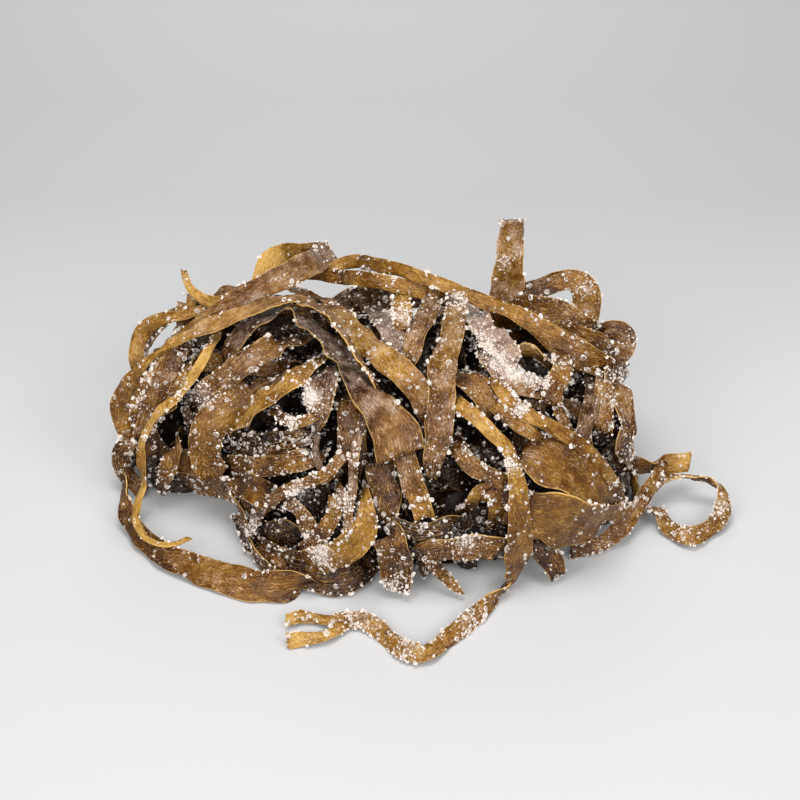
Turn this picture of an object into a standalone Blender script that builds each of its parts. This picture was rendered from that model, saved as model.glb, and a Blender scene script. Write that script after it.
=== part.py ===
"""Dried sea spaghetti: a loose heap of leathery seaweed straps with coarse salt on them.

The heap is one solid, which stands on z = 0 with its front towards -Y. A lumpy core carries the straps
that show, and the largest salt crystals sit on the straps. Sizes are in millimetres up to the mesh.
"""

import math
import random

import bmesh
import bpy
import numpy as np

NAME = "sea_spaghetti_heap"
MM = 0.001
LEATHER = (0.13, 0.075, 0.028, 1.0)

# The heap, as four rounded lobes that run into each other: centre x, centre y, half length,
# half depth, height.
LOBES = np.array(
    [
        [16.0, 0.0, 56.0, 47.0, 54.0],
        [-38.0, 20.0, 38.0, 33.0, 50.0],
        [48.0, 4.0, 29.0, 34.0, 46.0],
        [-8.0, 18.0, 34.0, 35.0, 46.0],
    ]
)
LOBE_POWER = 2.4  # 2 is an ellipsoid, and more is boxier
HEAP_CENTRE = np.array([0.0, 6.0, 6.0])
NEAR_MISS = 1.12  # as a multiple of the distance from a lobe's centre to its outline
CORE_DEPTH = 8.0  # how far the core lies under the outline of the lobes
CORE_LUMPS = 0.03  # as a share of its size
CORE_SEGMENTS, CORE_RINGS = 14, 8
MOST_TRIANGLES = 11000
SLIVER = 0.002  # corners as near as this are taken as one
TOUCH_GAP = 0.03  # how far two walls are parted where they touch

# The straps
STRAP_THICK = 1.3
STRAP_STEP = 16.0  # the longest stretch between two cross sections
STRAP_TURN = math.radians(45.0)  # or the bend that takes one more section
SMOOTHINGS = 6
TUCK_LIFT = -10.0  # where an end that isn't free goes down into the core
TUCK_REACH = 16.0  # and how far further on, in the frame
TABLE_GAP = 0.06

# The reference view: where a route is read, in an 800 x 800 frame.
FRAME = 800
VIEW_TURN_DOWN = math.radians(35.0)
VIEW_DISTANCE = 540.0
VIEW_AIM = np.array([7.0, 0.0, 31.0])
LENS, SENSOR = 85.0, 36.0
VIEW_HALF_WIDTH = SENSOR / 2 / LENS  # half of the frame's width at a distance of 1
SIGHT_DEPTHS = np.arange(360.0, 800.0, 0.5)  # from before the heap to behind it
REACHES = np.arange(130.0, 0.0, -0.5)  # from outside the heap to its centre

# The salt
CRYSTALS = 50
CRYSTAL_SIZES = (2.0, 3.0)
CRYSTAL_SPACING = 9.0
CRYSTAL_LOWEST = 4.0  # over the table
CRYSTAL_RAISED = 0.15  # its middle over the strap, as a share of its size

# Straps of the front and the top, as they lie. A route holds, for each point, its place across and
# down in the reference view, and its lift over the outline of the lobes or, clear of them, over the
# table. The widths and the turns about the strap's own line are spread evenly along the route.
# "free" says which ends lie open; the others go down into the core.
STRAPS = {
    "left_back_loop": {
        "route": [(222, 304, 2), (207, 309, 3), (192, 313, 4), (178, 316, 5), (164, 318, 5.5),
                  (152, 323, 5.5), (142, 332, 5), (137, 345, 4.4), (136, 358, 3.4),
                  (140, 372, 1)],
        "wide": (3, 3.2, 3, 2.8, 3.6, 4.6, 5, 4.6, 4.4, 4), "turn": (0, 0, 5, 0),
        "face": "view",
    },
    "curled_tip": {
        "route": [(229, 302, 3), (216, 303, 4), (204, 300, 6), (194, 293, 8), (187, 283, 9),
                  (184, 271, 10)],
        "wide": (4.6, 4.2, 3.2, 2.6, 2.2, 1.8), "turn": (0, 10, 20),
        "free": "end", "face": "view",
    },
    "split_stub": {
        "route": [(184, 336, 0), (184, 320, 2), (182, 303, 4)],
        "wide": (4.6, 4.6, 3.2), "turn": (10,),
        "free": "end", "face": "view",
    },
    "split_stub_prong": {
        "route": [(186, 318, 2), (191, 308, 4), (191, 296, 5)],
        "wide": (3.4, 3.2, 2.2), "turn": (10,),
        "free": "end", "face": "view",
    },
    "upper_left_diagonal": {
        "route": [(180, 335, 3), (196, 325, 5), (212, 316, 6), (230, 305, 7), (250, 293.5, 8.5),
                  (271, 283, 10.5), (291, 273, 12.5), (311, 263, 14), (332, 252, 14)],
        "wide": (2.2, 3.4, 5, 6.2, 6.8, 7.2, 7.4, 7.6, 7.4), "turn": (0, 5, 10, 10, 5),
        "free": "end", "face": "view",
    },
    "top_flap": {
        "route": [(259, 291, 5), (263, 277, 9), (271, 264, 11), (284, 256, 12), (302, 253, 12),
                  (322, 251, 11)],
        "wide": (5, 6.6, 8, 7.4, 6, 5), "turn": (10, 0, 0, 5, 0),
        "free": "end", "face": "view",
    },
    "ridge_long": {
        "route": [(332, 268, 11), (345, 262, 12), (357, 261.5, 12), (370, 263.5, 12),
                  (385, 266.5, 12), (402, 270.5, 12), (424, 278, 11), (445, 285.5, 10),
                  (465, 294, 9), (487, 303, 8), (508, 310, 7), (528, 320, 6), (548, 334, 5),
                  (570, 349, 5), (592, 360, 4), (610, 372, 2)],
        "wide": (3.4, 4, 4.2, 4.2, 4.2, 4, 3.8, 3.8, 4, 4.2, 4.2, 5, 6.6, 8, 7.6, 6),
        "turn": (0, 10, 5, 10, 5, 0, -10, 0, 5, 10),
        "face": "view",
    },
    "ridge_inner": {
        "route": [(322, 275, 9), (340, 277, 10), (356, 278, 10), (368, 279.5, 10),
                  (388, 283, 9), (403, 287, 8), (422, 291, 7), (442, 298, 6)],
        "wide": (3.6, 4.4, 4.4, 4.4, 4.4, 4.6, 4.6, 4.4), "turn": (0, 10, 0),
        "face": "view",
    },
    "behind_gap": {
        "route": [(334, 312, 0), (346, 305, 1), (364, 299, 2), (388, 296, 3), (404, 296, 2)],
        "wide": (7, 8.4, 9, 8.4, 7), "turn": (0,),
        "face": "view",
    },
    "outer_arch": {
        "route": [(134, 451, 1), (127, 437, 2.4), (122, 424, 3.6), (120, 411, 4),
                  (123, 398, 4.4), (131, 383, 5), (143, 366, 6), (157, 353, 7), (173, 343, 8),
                  (192, 333, 8.4), (214, 324, 9), (238, 314.5, 9), (261, 305.5, 9),
                  (282, 299.5, 9), (300, 300, 9), (315, 307, 9), (330, 318, 9), (342, 332, 9),
                  (352, 347, 9), (362, 364, 9), (374, 382, 8)],
        "wide": (3.6, 4.2, 5, 5.8, 6.6, 5.6, 2.6, 1.9, 2.4, 3.8, 4.8, 5.2, 5.6, 6, 6.2, 6, 5.4,
                 5, 4.6, 4.5, 4.5),
        "turn": (0, 0, 0, 0, 0, 0, 0, -5, -10, -20, -25, -35, -50, -60, -65, -70, -75, -75, -75,
                 -75, -75),
        "face": "view",
    },
    "inner_arch": {
        "route": [(226, 362, 0), (235, 342, 3), (250, 326, 5), (268, 316, 6), (288, 313, 7),
                  (308, 322, 7), (325, 339, 7), (340, 357, 7), (352, 374, 8), (363, 388, 8.5),
                  (375, 402, 9), (387, 418, 9), (395, 434, 8.5), (401, 456, 8)],
        "wide": (6, 7, 7.4, 8, 8.6, 9, 9, 9, 9, 9, 10, 11.5, 13, 13.4),
        "turn": (-25, -28, -32, -40, -48, -50, -45, -45, -35, -20, -10, 0, 0),
        "free": "end",
    },
    "behind_arch": {
        "route": [(262, 334, 0), (277, 319, 1.5), (294, 309, 2.5), (312, 312, 2), (328, 324, 1)],
        "wide": (6, 8, 9, 9, 7), "turn": (0,),
        "face": "view",
    },
    "right_of_arch": {
        "route": [(300, 292, 5), (320, 302, 5), (340, 317, 5), (357, 334, 5), (376, 351, 5),
                  (395, 367, 5), (413, 383, 4), (425, 400, 3), (430, 422, 1)],
        "wide": (5, 6, 6.5, 6.5, 7, 7.5, 7.5, 7, 6), "turn": (0, 0, 10, 15, 20),
    },
    "centre_vertical": {
        "route": [(457, 303, 7), (455, 320, 7), (450, 340, 7), (444, 360, 7), (441, 380, 7),
                  (441, 400, 7), (440, 420, 7), (438, 440, 6), (433, 460, 5), (431, 479, 4)],
        "wide": (5.5, 6, 6.8, 7.3, 7.6, 7.6, 7.6, 7, 5.5, 3), "turn": (10, 0, -10, 0, 10),
        "free": "start end",
    },
    "centre_second": {
        "route": [(435, 298, 6), (426, 315, 6), (419, 330, 5), (413, 346, 4), (408, 362, 2)],
        "wide": (5.8,), "turn": (0, 15), "free": "start",
    },
    "centre_lower_flap": {
        "route": [(399, 440, 3), (405, 460, 5), (412, 480, 6), (419, 500, 6), (426, 518, 5)],
        "wide": (6, 6.2, 6.2, 6, 5.2), "turn": (0, 10, 0),
        "free": "end",
    },
    "long_tail": {
        "route": [(457, 403, 6), (472, 414, 8), (486, 427, 9), (500, 440, 9), (511, 453, 9),
                  (514, 470, 9), (517, 486, 9), (519, 503, 8), (519, 522, 7), (519, 545, 5),
                  (517, 566, 3), (510, 582, 2), (498, 595, 1.2), (485, 607, 0.8),
                  (470, 620, 0.6), (455, 633, 0.6), (440, 645, 0.6), (427, 653, 1),
                  (414, 654, 1), (400, 648, 0.6), (389, 639, 0.6), (378, 629, 0.6),
                  (366, 621, 0.8), (353, 619, 0.6), (338, 624, 0.6)],
        "wide": (3.8, 4, 4, 4, 3.5, 4.2, 5, 5.6, 6.6, 7.6, 7.6, 6, 4.6, 5, 5.2, 5, 4.8, 5.2,
                 5.4, 5, 5, 5.2, 5, 4.8, 6),
        "turn": (20, 20, 10, 0, -20, -10, 0, 0, 0, -10, -20, -30, -25, -20, -25, -35, -30, -20,
                 -35, -30, -20, -25, -30, -20, -15),
        "free": "end",
    },
    "tail_prong_back": {
        "route": [(350, 618, 0.8), (334, 621, 0.8), (320, 618, 1.0), (305, 617, 0.8),
                  (286, 621, 0.8)],
        "wide": (3.5, 3.5, 3.2, 3.2, 3.4), "turn": (-20, -30, -15, -30), "free": "start end",
    },
    "tail_prong_front": {
        "route": [(344, 624, 0.8), (333, 633, 0.6), (319, 638, 0.8), (304, 639, 0.6),
                  (287, 641, 0.6)],
        "wide": (3.8, 3.6, 3.4, 3.8, 4.4), "turn": (-25, -15, -30, -15), "free": "start end",
    },
    "under_knee": {
        "route": [(458, 445, 2), (465, 460, 4), (475, 469, 5), (490, 475, 6), (508, 484, 6)],
        "wide": (4.5,), "turn": (0, 20, 0),
    },
    "knee_curl": {
        "route": [(474, 500, 1), (481, 492, 3), (492, 491, 4), (500, 499, 4), (497, 514, 2)],
        "wide": (4.6, 5, 5), "turn": (30, 0, -20),
        "face": "view",
    },
    "blade_upper": {
        "route": [(525, 447, 3), (541, 455, 5), (560, 465, 6), (583, 477, 6), (604, 490, 5),
                  (623, 504, 4)],
        "wide": (11, 14.5, 16, 14, 9, 3), "turn": (-15, -15, -15, -15, -10),
        "free": "start end",
    },
    "blade_lower": {
        "route": [(502, 500, 4), (530, 511, 6), (560, 521, 7), (586, 524, 6), (606, 516, 5),
                  (624, 507, 4)],
        "wide": (11, 14.5, 17, 16, 9, 3), "turn": (15, 20, 25, 25, 20),
        "free": "end",
    },
    "blade_edge": {
        "route": [(494, 378, 4), (504, 394, 6), (522, 410, 7), (546, 424, 7), (575, 441, 7),
                  (598, 460, 6), (612, 480, 5), (621, 497, 4)],
        "wide": (3.6, 3.8, 3.8, 3.6, 3.4, 3), "turn": (0, -10),
        "face": "view",
    },
    "blade_second": {
        "route": [(494, 404, 4), (508, 417, 5), (524, 429, 6), (540, 439, 5)],
        "wide": (3.8,), "turn": (0,),
        "face": "view",
    },
    "behind_blade": {
        "route": [(586, 549, 1.8), (603, 543, 3), (619, 530, 5), (631, 516, 7), (641, 502, 9),
                  (650, 487, 10), (657, 474, 11), (664, 461, 12)],
        "wide": (3.6, 4.6, 5.2, 5.2, 4.8, 4, 3.2, 3), "turn": (0, 10, 10, 0),
        "free": "end", "over": "table", "face": "view",
    },
    "right_loop": {
        "route": [(642, 497, 6), (652, 485, 8), (664, 478, 9), (685, 476, 9), (706, 479, 8.6),
                  (720, 488, 7.2), (725, 501, 5.6), (721, 516, 4.2), (708, 529, 3.4),
                  (690, 537, 3), (673, 530, 3), (659, 515, 3.2), (646, 503, 4)],
        "wide": (4, 3.8, 3.4, 3.2, 3.4, 4, 4.6, 5, 5.2, 5.4, 5, 4.4, 4.2),
        "turn": (-20, -30, -40, -45, -40, -30, -25, -35, -45, -45, -35, -30, -30),
        "over": "table",
    },
    "right_stub": {
        "route": [(600, 446, 22), (615, 459, 17), (630, 466, 13), (648, 467, 11.5),
                  (667, 464, 11), (690, 462, 11)],
        "wide": (6, 6.2, 6.2, 6, 5.8, 6.2), "turn": (35, 45, 50, 50), "free": "end",
        "over": "table",
    },
    "ruffled_top": {
        "route": [(594, 342, 2), (604, 332, 4), (617, 331, 5), (626, 341, 5), (619, 354, 4),
                  (610, 364, 2)],
        "wide": (5, 6.4, 7, 7, 6.4, 5), "turn": (0, 10, 20, 10, 0),
        "face": "view",
    },
    "ruffled_column": {
        "route": [(613, 358, 2), (612, 376, 4), (619, 390, 5), (624, 406, 5), (627, 424, 5),
                  (622, 441, 4), (628, 456, 2)],
        "wide": (5.4, 6.4, 7.4, 6.8, 7.6, 6.6, 5), "turn": (25, -10, 30, -10, 25, 0),
    },
    "upright_stub": {
        "route": [(504, 312, 48), (507, 286, 56), (509, 264, 63), (511, 243, 69),
                  (511.5, 220, 76)],
        "wide": (10, 9.6, 8.4, 7.4, 7.2), "turn": (0, 5, 0), "free": "end", "over": "table",
        "face": "view",
    },
    "right_top_loop": {
        "route": [(522, 294, 3), (536, 289, 7), (552, 284, 10), (568, 279, 11), (581, 283, 11),
                  (587, 296, 9), (586, 312, 6), (582, 328, 3)],
        "wide": (6, 6, 6, 6.2, 7.4, 8.4, 8.6, 8), "turn": (0, -10, 0, 10, 0),
        "face": "view",
    },
    "right_top_lower": {
        "route": [(520, 304, 4), (534, 310, 5), (550, 312, 6), (566, 317, 6), (586, 330, 4)],
        "wide": (6.5, 8, 8.4, 8, 7), "turn": (0, 10, 0),
        "face": "view",
    },
    "right_shoulder": {
        "route": [(548, 322, 2), (564, 330, 4), (582, 336, 5), (600, 345, 4), (612, 358, 2)],
        "wide": (5, 5.6, 6, 6, 5), "turn": (0, 5, 10, 10),
        "face": "view",
    },
    "white_crusted": {
        "route": [(474, 316, 3), (484, 328, 4), (495, 341, 5), (506, 354, 5), (517, 368, 4)],
        "wide": (7, 8, 8.6, 8, 6), "turn": (0, 10, 0),
    },
    "white_crusted_low": {
        "route": [(484, 352, 2), (496, 368, 4), (510, 381, 5), (527, 388, 5), (545, 388, 4),
                  (560, 380, 2)],
        "wide": (4.6, 5.6, 6.6, 7, 6.4, 5.6), "turn": (0, 5, 0),
    },
    "right_upright": {
        "route": [(563, 350, 3), (561, 369, 6), (555, 389, 6), (546, 406, 4)],
        "wide": (5.6, 6, 6, 5.4), "turn": (10, -10),
    },
    "under_upright": {
        "route": [(557, 402, 2), (564, 417, 4), (570, 435, 3)],
        "wide": (3.6,), "turn": (0,),
    },
    "behind_column": {
        "route": [(593, 382, 2), (592, 400, 3.6), (587, 419, 4), (582, 438, 3.4), (588, 454, 2)],
        "wide": (4.4,), "turn": (0, 10),
        "face": "view",
    },
    "column_inner": {
        "route": [(605, 370, 3), (603, 390, 4.6), (605, 411, 5), (603, 432, 4)],
        "wide": (4.8, 5, 5), "turn": (0,),
        "face": "view",
    },
    "right_dark_arch": {
        "route": [(528, 414, 2), (535, 399, 4), (549, 396, 4), (561, 407, 3), (568, 426, 0)],
        "wide": (4.4,), "turn": (20, 0, -20),
    },
    "centre_right": {
        "route": [(462, 378, 2), (477, 385, 3), (488, 398, 4), (491, 420, 1)],
        "wide": (7.5, 7.8, 7.4), "turn": (0, 10, 0),
    },
    "short_salty": {
        "route": [(401, 296, 6), (402, 312, 5), (404, 331, 3)],
        "wide": (5.6,), "turn": (0,), "free": "start",
    },
    "grey_behind": {
        "route": [(383, 320, 2), (392, 335, 3), (402, 353, 2)],
        "wide": (6.5,), "turn": (0,),
    },
    "yellow_narrow": {
        "route": [(213, 342, 4), (207, 352, 6), (202, 362, 7), (191, 381, 8), (175, 398, 8),
                  (156, 417, 9), (143, 435, 9), (141, 455, 8.4), (143, 470, 7.6),
                  (144, 485, 6.6), (139, 501, 6), (135, 515, 6), (138, 527, 5.6),
                  (145, 537, 5.2), (155, 544, 5), (166, 546, 4.6), (177, 544, 4.4),
                  (189, 538, 4.6)],
        "wide": (3, 3, 2.8, 2.6, 2.4, 2.1, 1.9, 1.8), "turn": (0, 20, 0, 20, 0, 20),
        "free": "end",
    },
    "front_long": {
        "route": [(127, 478, 12), (124, 495, 8), (126, 511, 5.4), (134, 527, 4),
                  (148, 543, 3.4), (166, 556, 3.2), (190, 566, 3.2), (215, 575, 3.4),
                  (240, 583, 3.4), (265, 588, 3.4), (288, 589, 3.2), (308, 585, 3)],
        "wide": (3.4, 4.4, 5.4, 5.8, 6, 6.8, 7.6, 8.6, 9.2, 9.2, 8.8, 8),
        "turn": (50, 45, 40, 35, 35, 35, 35, 35, 35, 35),
        "over": "table",
    },
    "left_corner": {
        "route": [(131, 438, 2), (123, 449, 4), (120, 460, 4.4), (124, 472, 4), (134, 483, 2)],
        "wide": (4.6, 5.4, 5.8, 5.4, 4.4), "turn": (0,),
        "face": "view",
    },
    "left_broad": {
        "route": [(183, 346, 3), (170, 366, 4), (158, 388, 4.4), (150, 411, 4.4), (144, 434, 4),
                  (148, 460, 2)],
        "wide": (5, 6, 6.4, 6, 5.6, 5), "turn": (0,),
        "face": "view",
    },
    "left_edge_strap": {
        "route": [(176, 346, 4), (163, 359, 5), (151, 373, 5.4), (142, 388, 5.4), (135, 404, 5),
                  (135, 420, 3)],
        "wide": (2, 2.2, 2.4, 2.6, 2.6, 2.4), "turn": (0, 10),
        "face": "view",
    },
    "left_low": {
        "route": [(176, 448, 2), (168, 470, 4), (160, 492, 2)],
        "wide": (4.8, 4.6, 3.4), "turn": (0,), "free": "end",
    },
    "left_narrow": {
        "route": [(191, 361, 3), (183, 378, 5), (173, 395, 5), (164, 411, 3)],
        "wide": (3.2,), "turn": (20,),
    },
    "big_c": {
        "route": [(282, 374, 2), (256, 391, 4), (231, 404, 5), (213, 420, 6), (205, 440, 6),
                  (207, 460, 5), (217, 477, 5), (232, 492, 4), (247, 509, 3)],
        "wide": (8, 10, 10.5, 10, 9.5, 9, 8.6, 8, 7), "turn": (10, 0, 0, -10, 0),
    },
    "over_c": {
        "route": [(199, 401, 3), (212, 388, 5), (226, 377, 6), (245, 362, 7), (266, 350, 7),
                  (289, 342, 6), (307, 337, 3)],
        "wide": (7,), "turn": (-10, 0, 10),
    },
    "cross_left": {
        "route": [(321, 359, 6), (305, 370, 7), (290, 382, 8), (272, 395, 8), (256, 407, 8),
                  (241, 419, 7), (226, 430, 4)],
        "wide": (5.6, 5.8, 5.8, 5.6), "turn": (0, -10, 0),
    },
    "salty_patch": {
        "route": [(322, 368, 4), (323, 386, 5), (320, 403, 5), (316, 419, 4)],
        "wide": (8, 9.6, 9, 7), "turn": (0,),
    },
    "salty_rim": {
        "route": [(275, 411, 4), (285, 420, 6), (300, 422, 6), (317, 416, 5)],
        "wide": (3,), "turn": (0,),
    },
    "low_left_cross": {
        "route": [(231, 464, 2), (248, 466, 4), (270, 466, 4), (291, 463, 4), (315, 456, 2)],
        "wide": (5, 5.6, 5.6), "turn": (0, 10, -10),
    },
    "low_left_facet": {
        "route": [(231, 478, 3), (249, 486, 4.4), (266, 496, 4.4), (281, 501, 3)],
        "wide": (6, 8, 7.4, 5), "turn": (0,),
        "face": "view",
    },
    "cave_ledge_a": {
        "route": [(228, 437, 0), (252, 440, 1), (278, 437, 1), (303, 431, 0)],
        "wide": (3.4,), "turn": (10,),
    },
    "cave_ledge_b": {
        "route": [(229, 449, 0), (250, 452, 1), (270, 452, 1), (290, 446, 0)],
        "wide": (3,), "turn": (0,),
    },
    "cave_thin": {
        "route": [(252, 463, 1), (270, 457, 2), (288, 449, 2), (311, 440, 1)],
        "wide": (2.2,), "turn": (10,),
    },
    "thin_curl": {
        "route": [(317, 434, 2), (315, 447, 4), (317, 461, 5), (324, 474, 5)],
        "wide": (2,), "turn": (0,),
        "face": "view",
    },
    "front_left_edge": {
        "route": [(221, 479, 3), (232, 494, 4), (241, 511, 4), (246, 530, 3), (252, 549, 2),
                  (270, 569, 1)],
        "wide": (4.4,), "turn": (20, 10, 0),
    },
    "salty_arch": {
        "route": [(252, 533, 2), (257, 516, 4), (267, 505, 5), (281, 494, 6.5), (297, 486, 7),
                  (314, 481, 7), (329, 474, 6.5), (337, 461, 6), (346, 452, 4)],
        "wide": (3.2, 3.4, 3.6, 3.4), "turn": (10, 0, 10, 0),
    },
    "bowl_side": {
        "route": [(337, 492, 5), (335, 509, 6), (328, 526, 6), (318, 538, 5.4), (306, 548, 4)],
        "wide": (4, 4.4, 4.6, 4.4), "turn": (10, 0),
    },
    "bowl_bottom": {
        "route": [(272, 548, 2), (289, 557, 4), (311, 560, 5), (334, 556, 6), (352, 545, 7),
                  (364, 529, 7), (366, 512, 6), (365, 496, 4)],
        "wide": (7, 8, 8.2, 8.2, 8.4, 7.6, 5.2, 3.8), "turn": (20, 10, 0, -5, -5),
    },
    "bowl_foot": {
        "route": [(256, 540, 2), (268, 556, 2.5), (287, 568, 2.5), (310, 572, 2)],
        "wide": (7, 8, 8, 7), "turn": (10,),
        "face": "view",
    },
    "bowl_inner": {
        "route": [(254, 536, 1), (270, 535, 2), (287, 535, 2), (303, 540, 1)],
        "wide": (9,), "turn": (0, 10),
    },
    "bowl_mass": {
        "route": [(282, 499, 3), (295, 508, 4), (306, 521, 4.4), (312, 539, 3)],
        "wide": (5, 5.4, 5), "turn": (0, 10, 0),
    },
    "front_dark": {
        "route": [(291, 571, 4.6), (311, 576, 4.8), (333, 579, 4.8), (353, 577, 4.8),
                  (367, 565, 4.6)],
        "wide": (7, 8.6, 9.4, 9, 6.5), "turn": (0, 5, 0),
        "over": "table", "face": "view",
    },
    "thin_long": {
        "route": [(360, 380, 3), (367, 398, 9), (366, 414, 8), (360, 432, 7.5), (356, 450, 7.5),
                  (353, 472, 7.5), (350, 500, 8), (347, 530, 7), (342, 552, 4)],
        "wide": (2.2, 2.4, 2.6, 2.6), "turn": (20,),
        "face": "view",
    },
    "behind_flap": {
        "route": [(380, 458, 1), (384, 490, 3), (386, 520, 2)],
        "wide": (8,), "turn": (0, 10),
    },
    "left_of_flap": {
        "route": [(350, 398, 2), (353, 430, 3), (350, 462, 2)],
        "wide": (8,), "turn": (0, -10),
    },
    "front_lobe": {
        "route": [(390, 533, 4), (393, 552, 5), (397, 574, 3), (398, 591, 1.5)],
        "wide": (8.6, 9.4, 9, 6), "turn": (0, 10), "free": "end",
    },
    "leaf_piece": {
        "route": [(423, 549, 2), (432, 562, 2.5), (445, 577, 2), (462, 594, 1)],
        "wide": (2.4, 3.6, 3.6, 1.4), "turn": (0, -10), "free": "end",
    },
    "front_band": {
        "route": [(426, 553, 3), (450, 550, 4), (475, 546, 4), (503, 548, 3)],
        "wide": (7.6,), "turn": (0, 10),
    },
    "dark_band": {
        "route": [(386, 523, 3), (408, 530, 4), (430, 532, 4), (449, 524, 3)],
        "wide": (5,), "turn": (0,),
    },
    "front_right_low": {
        "route": [(537, 541, 2), (549, 556, 2.5), (558, 577, 1)],
        "wide": (7.4, 7, 5), "turn": (0,), "free": "end",
    },
}

# Straps of the back and the sides, laid by rule.
BACK_STRAPS = 22
BACK_SEED = 11
BACK_STOPS = 9
BACK_DRAPES = 0.55  # the share of them that hang down from the top
BACK_FROM, BACK_TO = math.radians(-22.0), math.radians(200.0)


def sight_line(across, down):
    """The eye, and the direction in which it sees a place of the frame; one unit is one of depth."""
    ahead = np.array([0.0, math.cos(VIEW_TURN_DOWN), -math.sin(VIEW_TURN_DOWN)])
    up = np.array([0.0, math.sin(VIEW_TURN_DOWN), math.cos(VIEW_TURN_DOWN)])
    half = FRAME / 2
    sideways = (across - half) / half * VIEW_HALF_WIDTH
    upwards = (half - down) / half * VIEW_HALF_WIDTH
    eye = VIEW_AIM - VIEW_DISTANCE * ahead
    return eye, ahead + np.array([sideways, 0.0, 0.0]) + upwards * up


def lobe_levels(points, lift=0.0):
    """Per lobe: 1 on its outline grown by lift, less inside and more outside."""
    gaps = points[..., None, :] - np.insert(LOBES[:, :2], 2, 0.0, axis=1)
    halves = LOBES[:, 2:] + lift
    return (np.abs(gaps / halves) ** LOBE_POWER).sum(axis=-1) ** (1 / LOBE_POWER)


def place_on_heap(across, down, lift):
    """Where the line of sight first meets the lobes grown by lift, or the table raised by it.

    A line that just misses the lobes, or passes over them, stops where it is closest to them.
    """
    eye, direction = sight_line(across, down)
    points = eye + SIGHT_DEPTHS[:, None] * direction
    levels = lobe_levels(points, lift).min(axis=1)
    above = points[:, 2] > max(lift, 0.0) + STRAP_THICK
    met = np.flatnonzero((levels <= 1.0) | ~above)[0]
    nearest = np.argmin(np.where(above, levels, np.inf))
    passed_by = levels[met] > 1.0 and (levels[nearest] < NEAR_MISS or points[met, 1] > HEAP_CENTRE[1])
    return points[nearest if passed_by else met]


def place_over_table(across, down, height):
    """Where the line of sight is at this height over the table."""
    eye, direction = sight_line(across, down)
    return eye + direction * (height - eye[2]) / direction[2]


def place_round_heap(azimuth, elevation, lift):
    """The outermost point of the lobes grown by lift, seen from the heap's centre."""
    direction = np.array(
        [
            math.cos(elevation) * math.cos(azimuth),
            math.cos(elevation) * math.sin(azimuth),
            math.sin(elevation),
        ]
    )
    points = HEAP_CENTRE + REACHES[:, None] * direction
    inside = lobe_levels(points, lift).min(axis=1) <= 1.0
    point = points[np.argmax(inside)]
    point[2] = max(point[2], STRAP_THICK)
    return point


def outward(points):
    """Unit directions out of the heap and, clear of it, straight up."""
    levels = lobe_levels(points)
    nearest = levels.argmin(axis=1)
    centres = np.insert(LOBES[:, :2], 2, 0.0, axis=1)[nearest]
    shares = (points - centres) / LOBES[nearest, 2:]
    slopes = np.sign(shares) * np.abs(shares) ** (LOBE_POWER - 1) / LOBES[nearest, 2:]
    slopes /= np.linalg.norm(slopes, axis=1, keepdims=True)
    clear = np.clip((levels.min(axis=1) - NEAR_MISS) / 0.2, 0.0, 1.0)[:, None]
    blended = slopes * (1 - clear) + np.array([0.0, 0.0, 1.0]) * clear
    return blended / np.linalg.norm(blended, axis=1, keepdims=True)


def spread(values, count):
    """A few values read evenly along count places."""
    return np.interp(np.linspace(0, 1, count), np.linspace(0, 1, len(values)), values)


def smooth_rows(rows, steps=10):
    """A Catmull-Rom spline through the rows, in all their columns at once."""
    rows = np.vstack([2 * rows[0] - rows[1], rows, 2 * rows[-1] - rows[-2]])
    a, b, c, d = (rows[i : len(rows) - 3 + i, None] for i in range(4))
    t = np.linspace(0, 1, steps, endpoint=False)[None, :, None]
    curve = b + 0.5 * t * (c - a + t * (2 * a - 5 * b + 4 * c - d + t * (3 * (b - c) + d - a)))
    return np.vstack([curve.reshape(-1, rows.shape[1]), rows[-2]])


def evened(rows):
    """The rows 1 mm apart, with kinks shorter than a strap's width drawn smooth."""
    lengths = np.linalg.norm(np.diff(rows[:, :3], axis=0), axis=1)
    total = np.concatenate([[0.0], np.cumsum(lengths)])
    wanted = np.linspace(0, total[-1], math.ceil(total[-1]))
    rows = np.stack([np.interp(wanted, total, column) for column in rows.T], axis=1)
    for _ in range(SMOOTHINGS):
        rows[1:-1] = (rows[:-2] + 2 * rows[1:-1] + rows[2:]) / 4
    return rows


def resampled(rows):
    """The rows of a strap at even shares of its length and its bends together."""
    steps = np.diff(rows[:, :3], axis=0)
    lengths = np.linalg.norm(steps, axis=1)
    along = steps / np.maximum(lengths, 1e-9)[:, None]
    bends = np.arccos(np.clip((along[1:] * along[:-1]).sum(axis=1), -1, 1))
    effort = lengths / STRAP_STEP
    effort[1:] += bends / STRAP_TURN
    total = np.concatenate([[0.0], np.cumsum(effort)])
    count = max(3, math.ceil(total[-1]) + 1)
    wanted = np.linspace(0, total[-1], count)
    return np.stack([np.interp(wanted, total, column) for column in rows.T], axis=1)


def tucked(route):
    """The route run on from its last point, down into the core."""
    (x0, y0, _), (x1, y1, _) = route[-2:]
    reach = TUCK_REACH / math.hypot(x1 - x0, y1 - y0)
    return route + [(x1 + (x1 - x0) * reach, y1 + (y1 - y0) * reach, TUCK_LIFT)]


def strap_rows(strap):
    """Rows of x, y, z, width and turn for a strap of the table above."""
    route = list(strap["route"])
    free = strap.get("free", "")
    over_table = strap.get("over") == "table"
    place = place_over_table if over_table else place_on_heap
    widths = spread(strap["wide"], len(route))
    turns = np.radians(spread(strap["turn"], len(route)))
    points = [place(*stop) for stop in route]
    if "end" not in free:
        points.append(place_on_heap(*tucked(route)[-1]))
        widths, turns = np.append(widths, widths[-1]), np.append(turns, turns[-1])
    if "start" not in free:
        points.insert(0, place_on_heap(*tucked(route[::-1])[-1]))
        widths, turns = np.insert(widths, 0, widths[0]), np.insert(turns, 0, turns[0])
    return np.column_stack([points, widths, turns])


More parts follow.
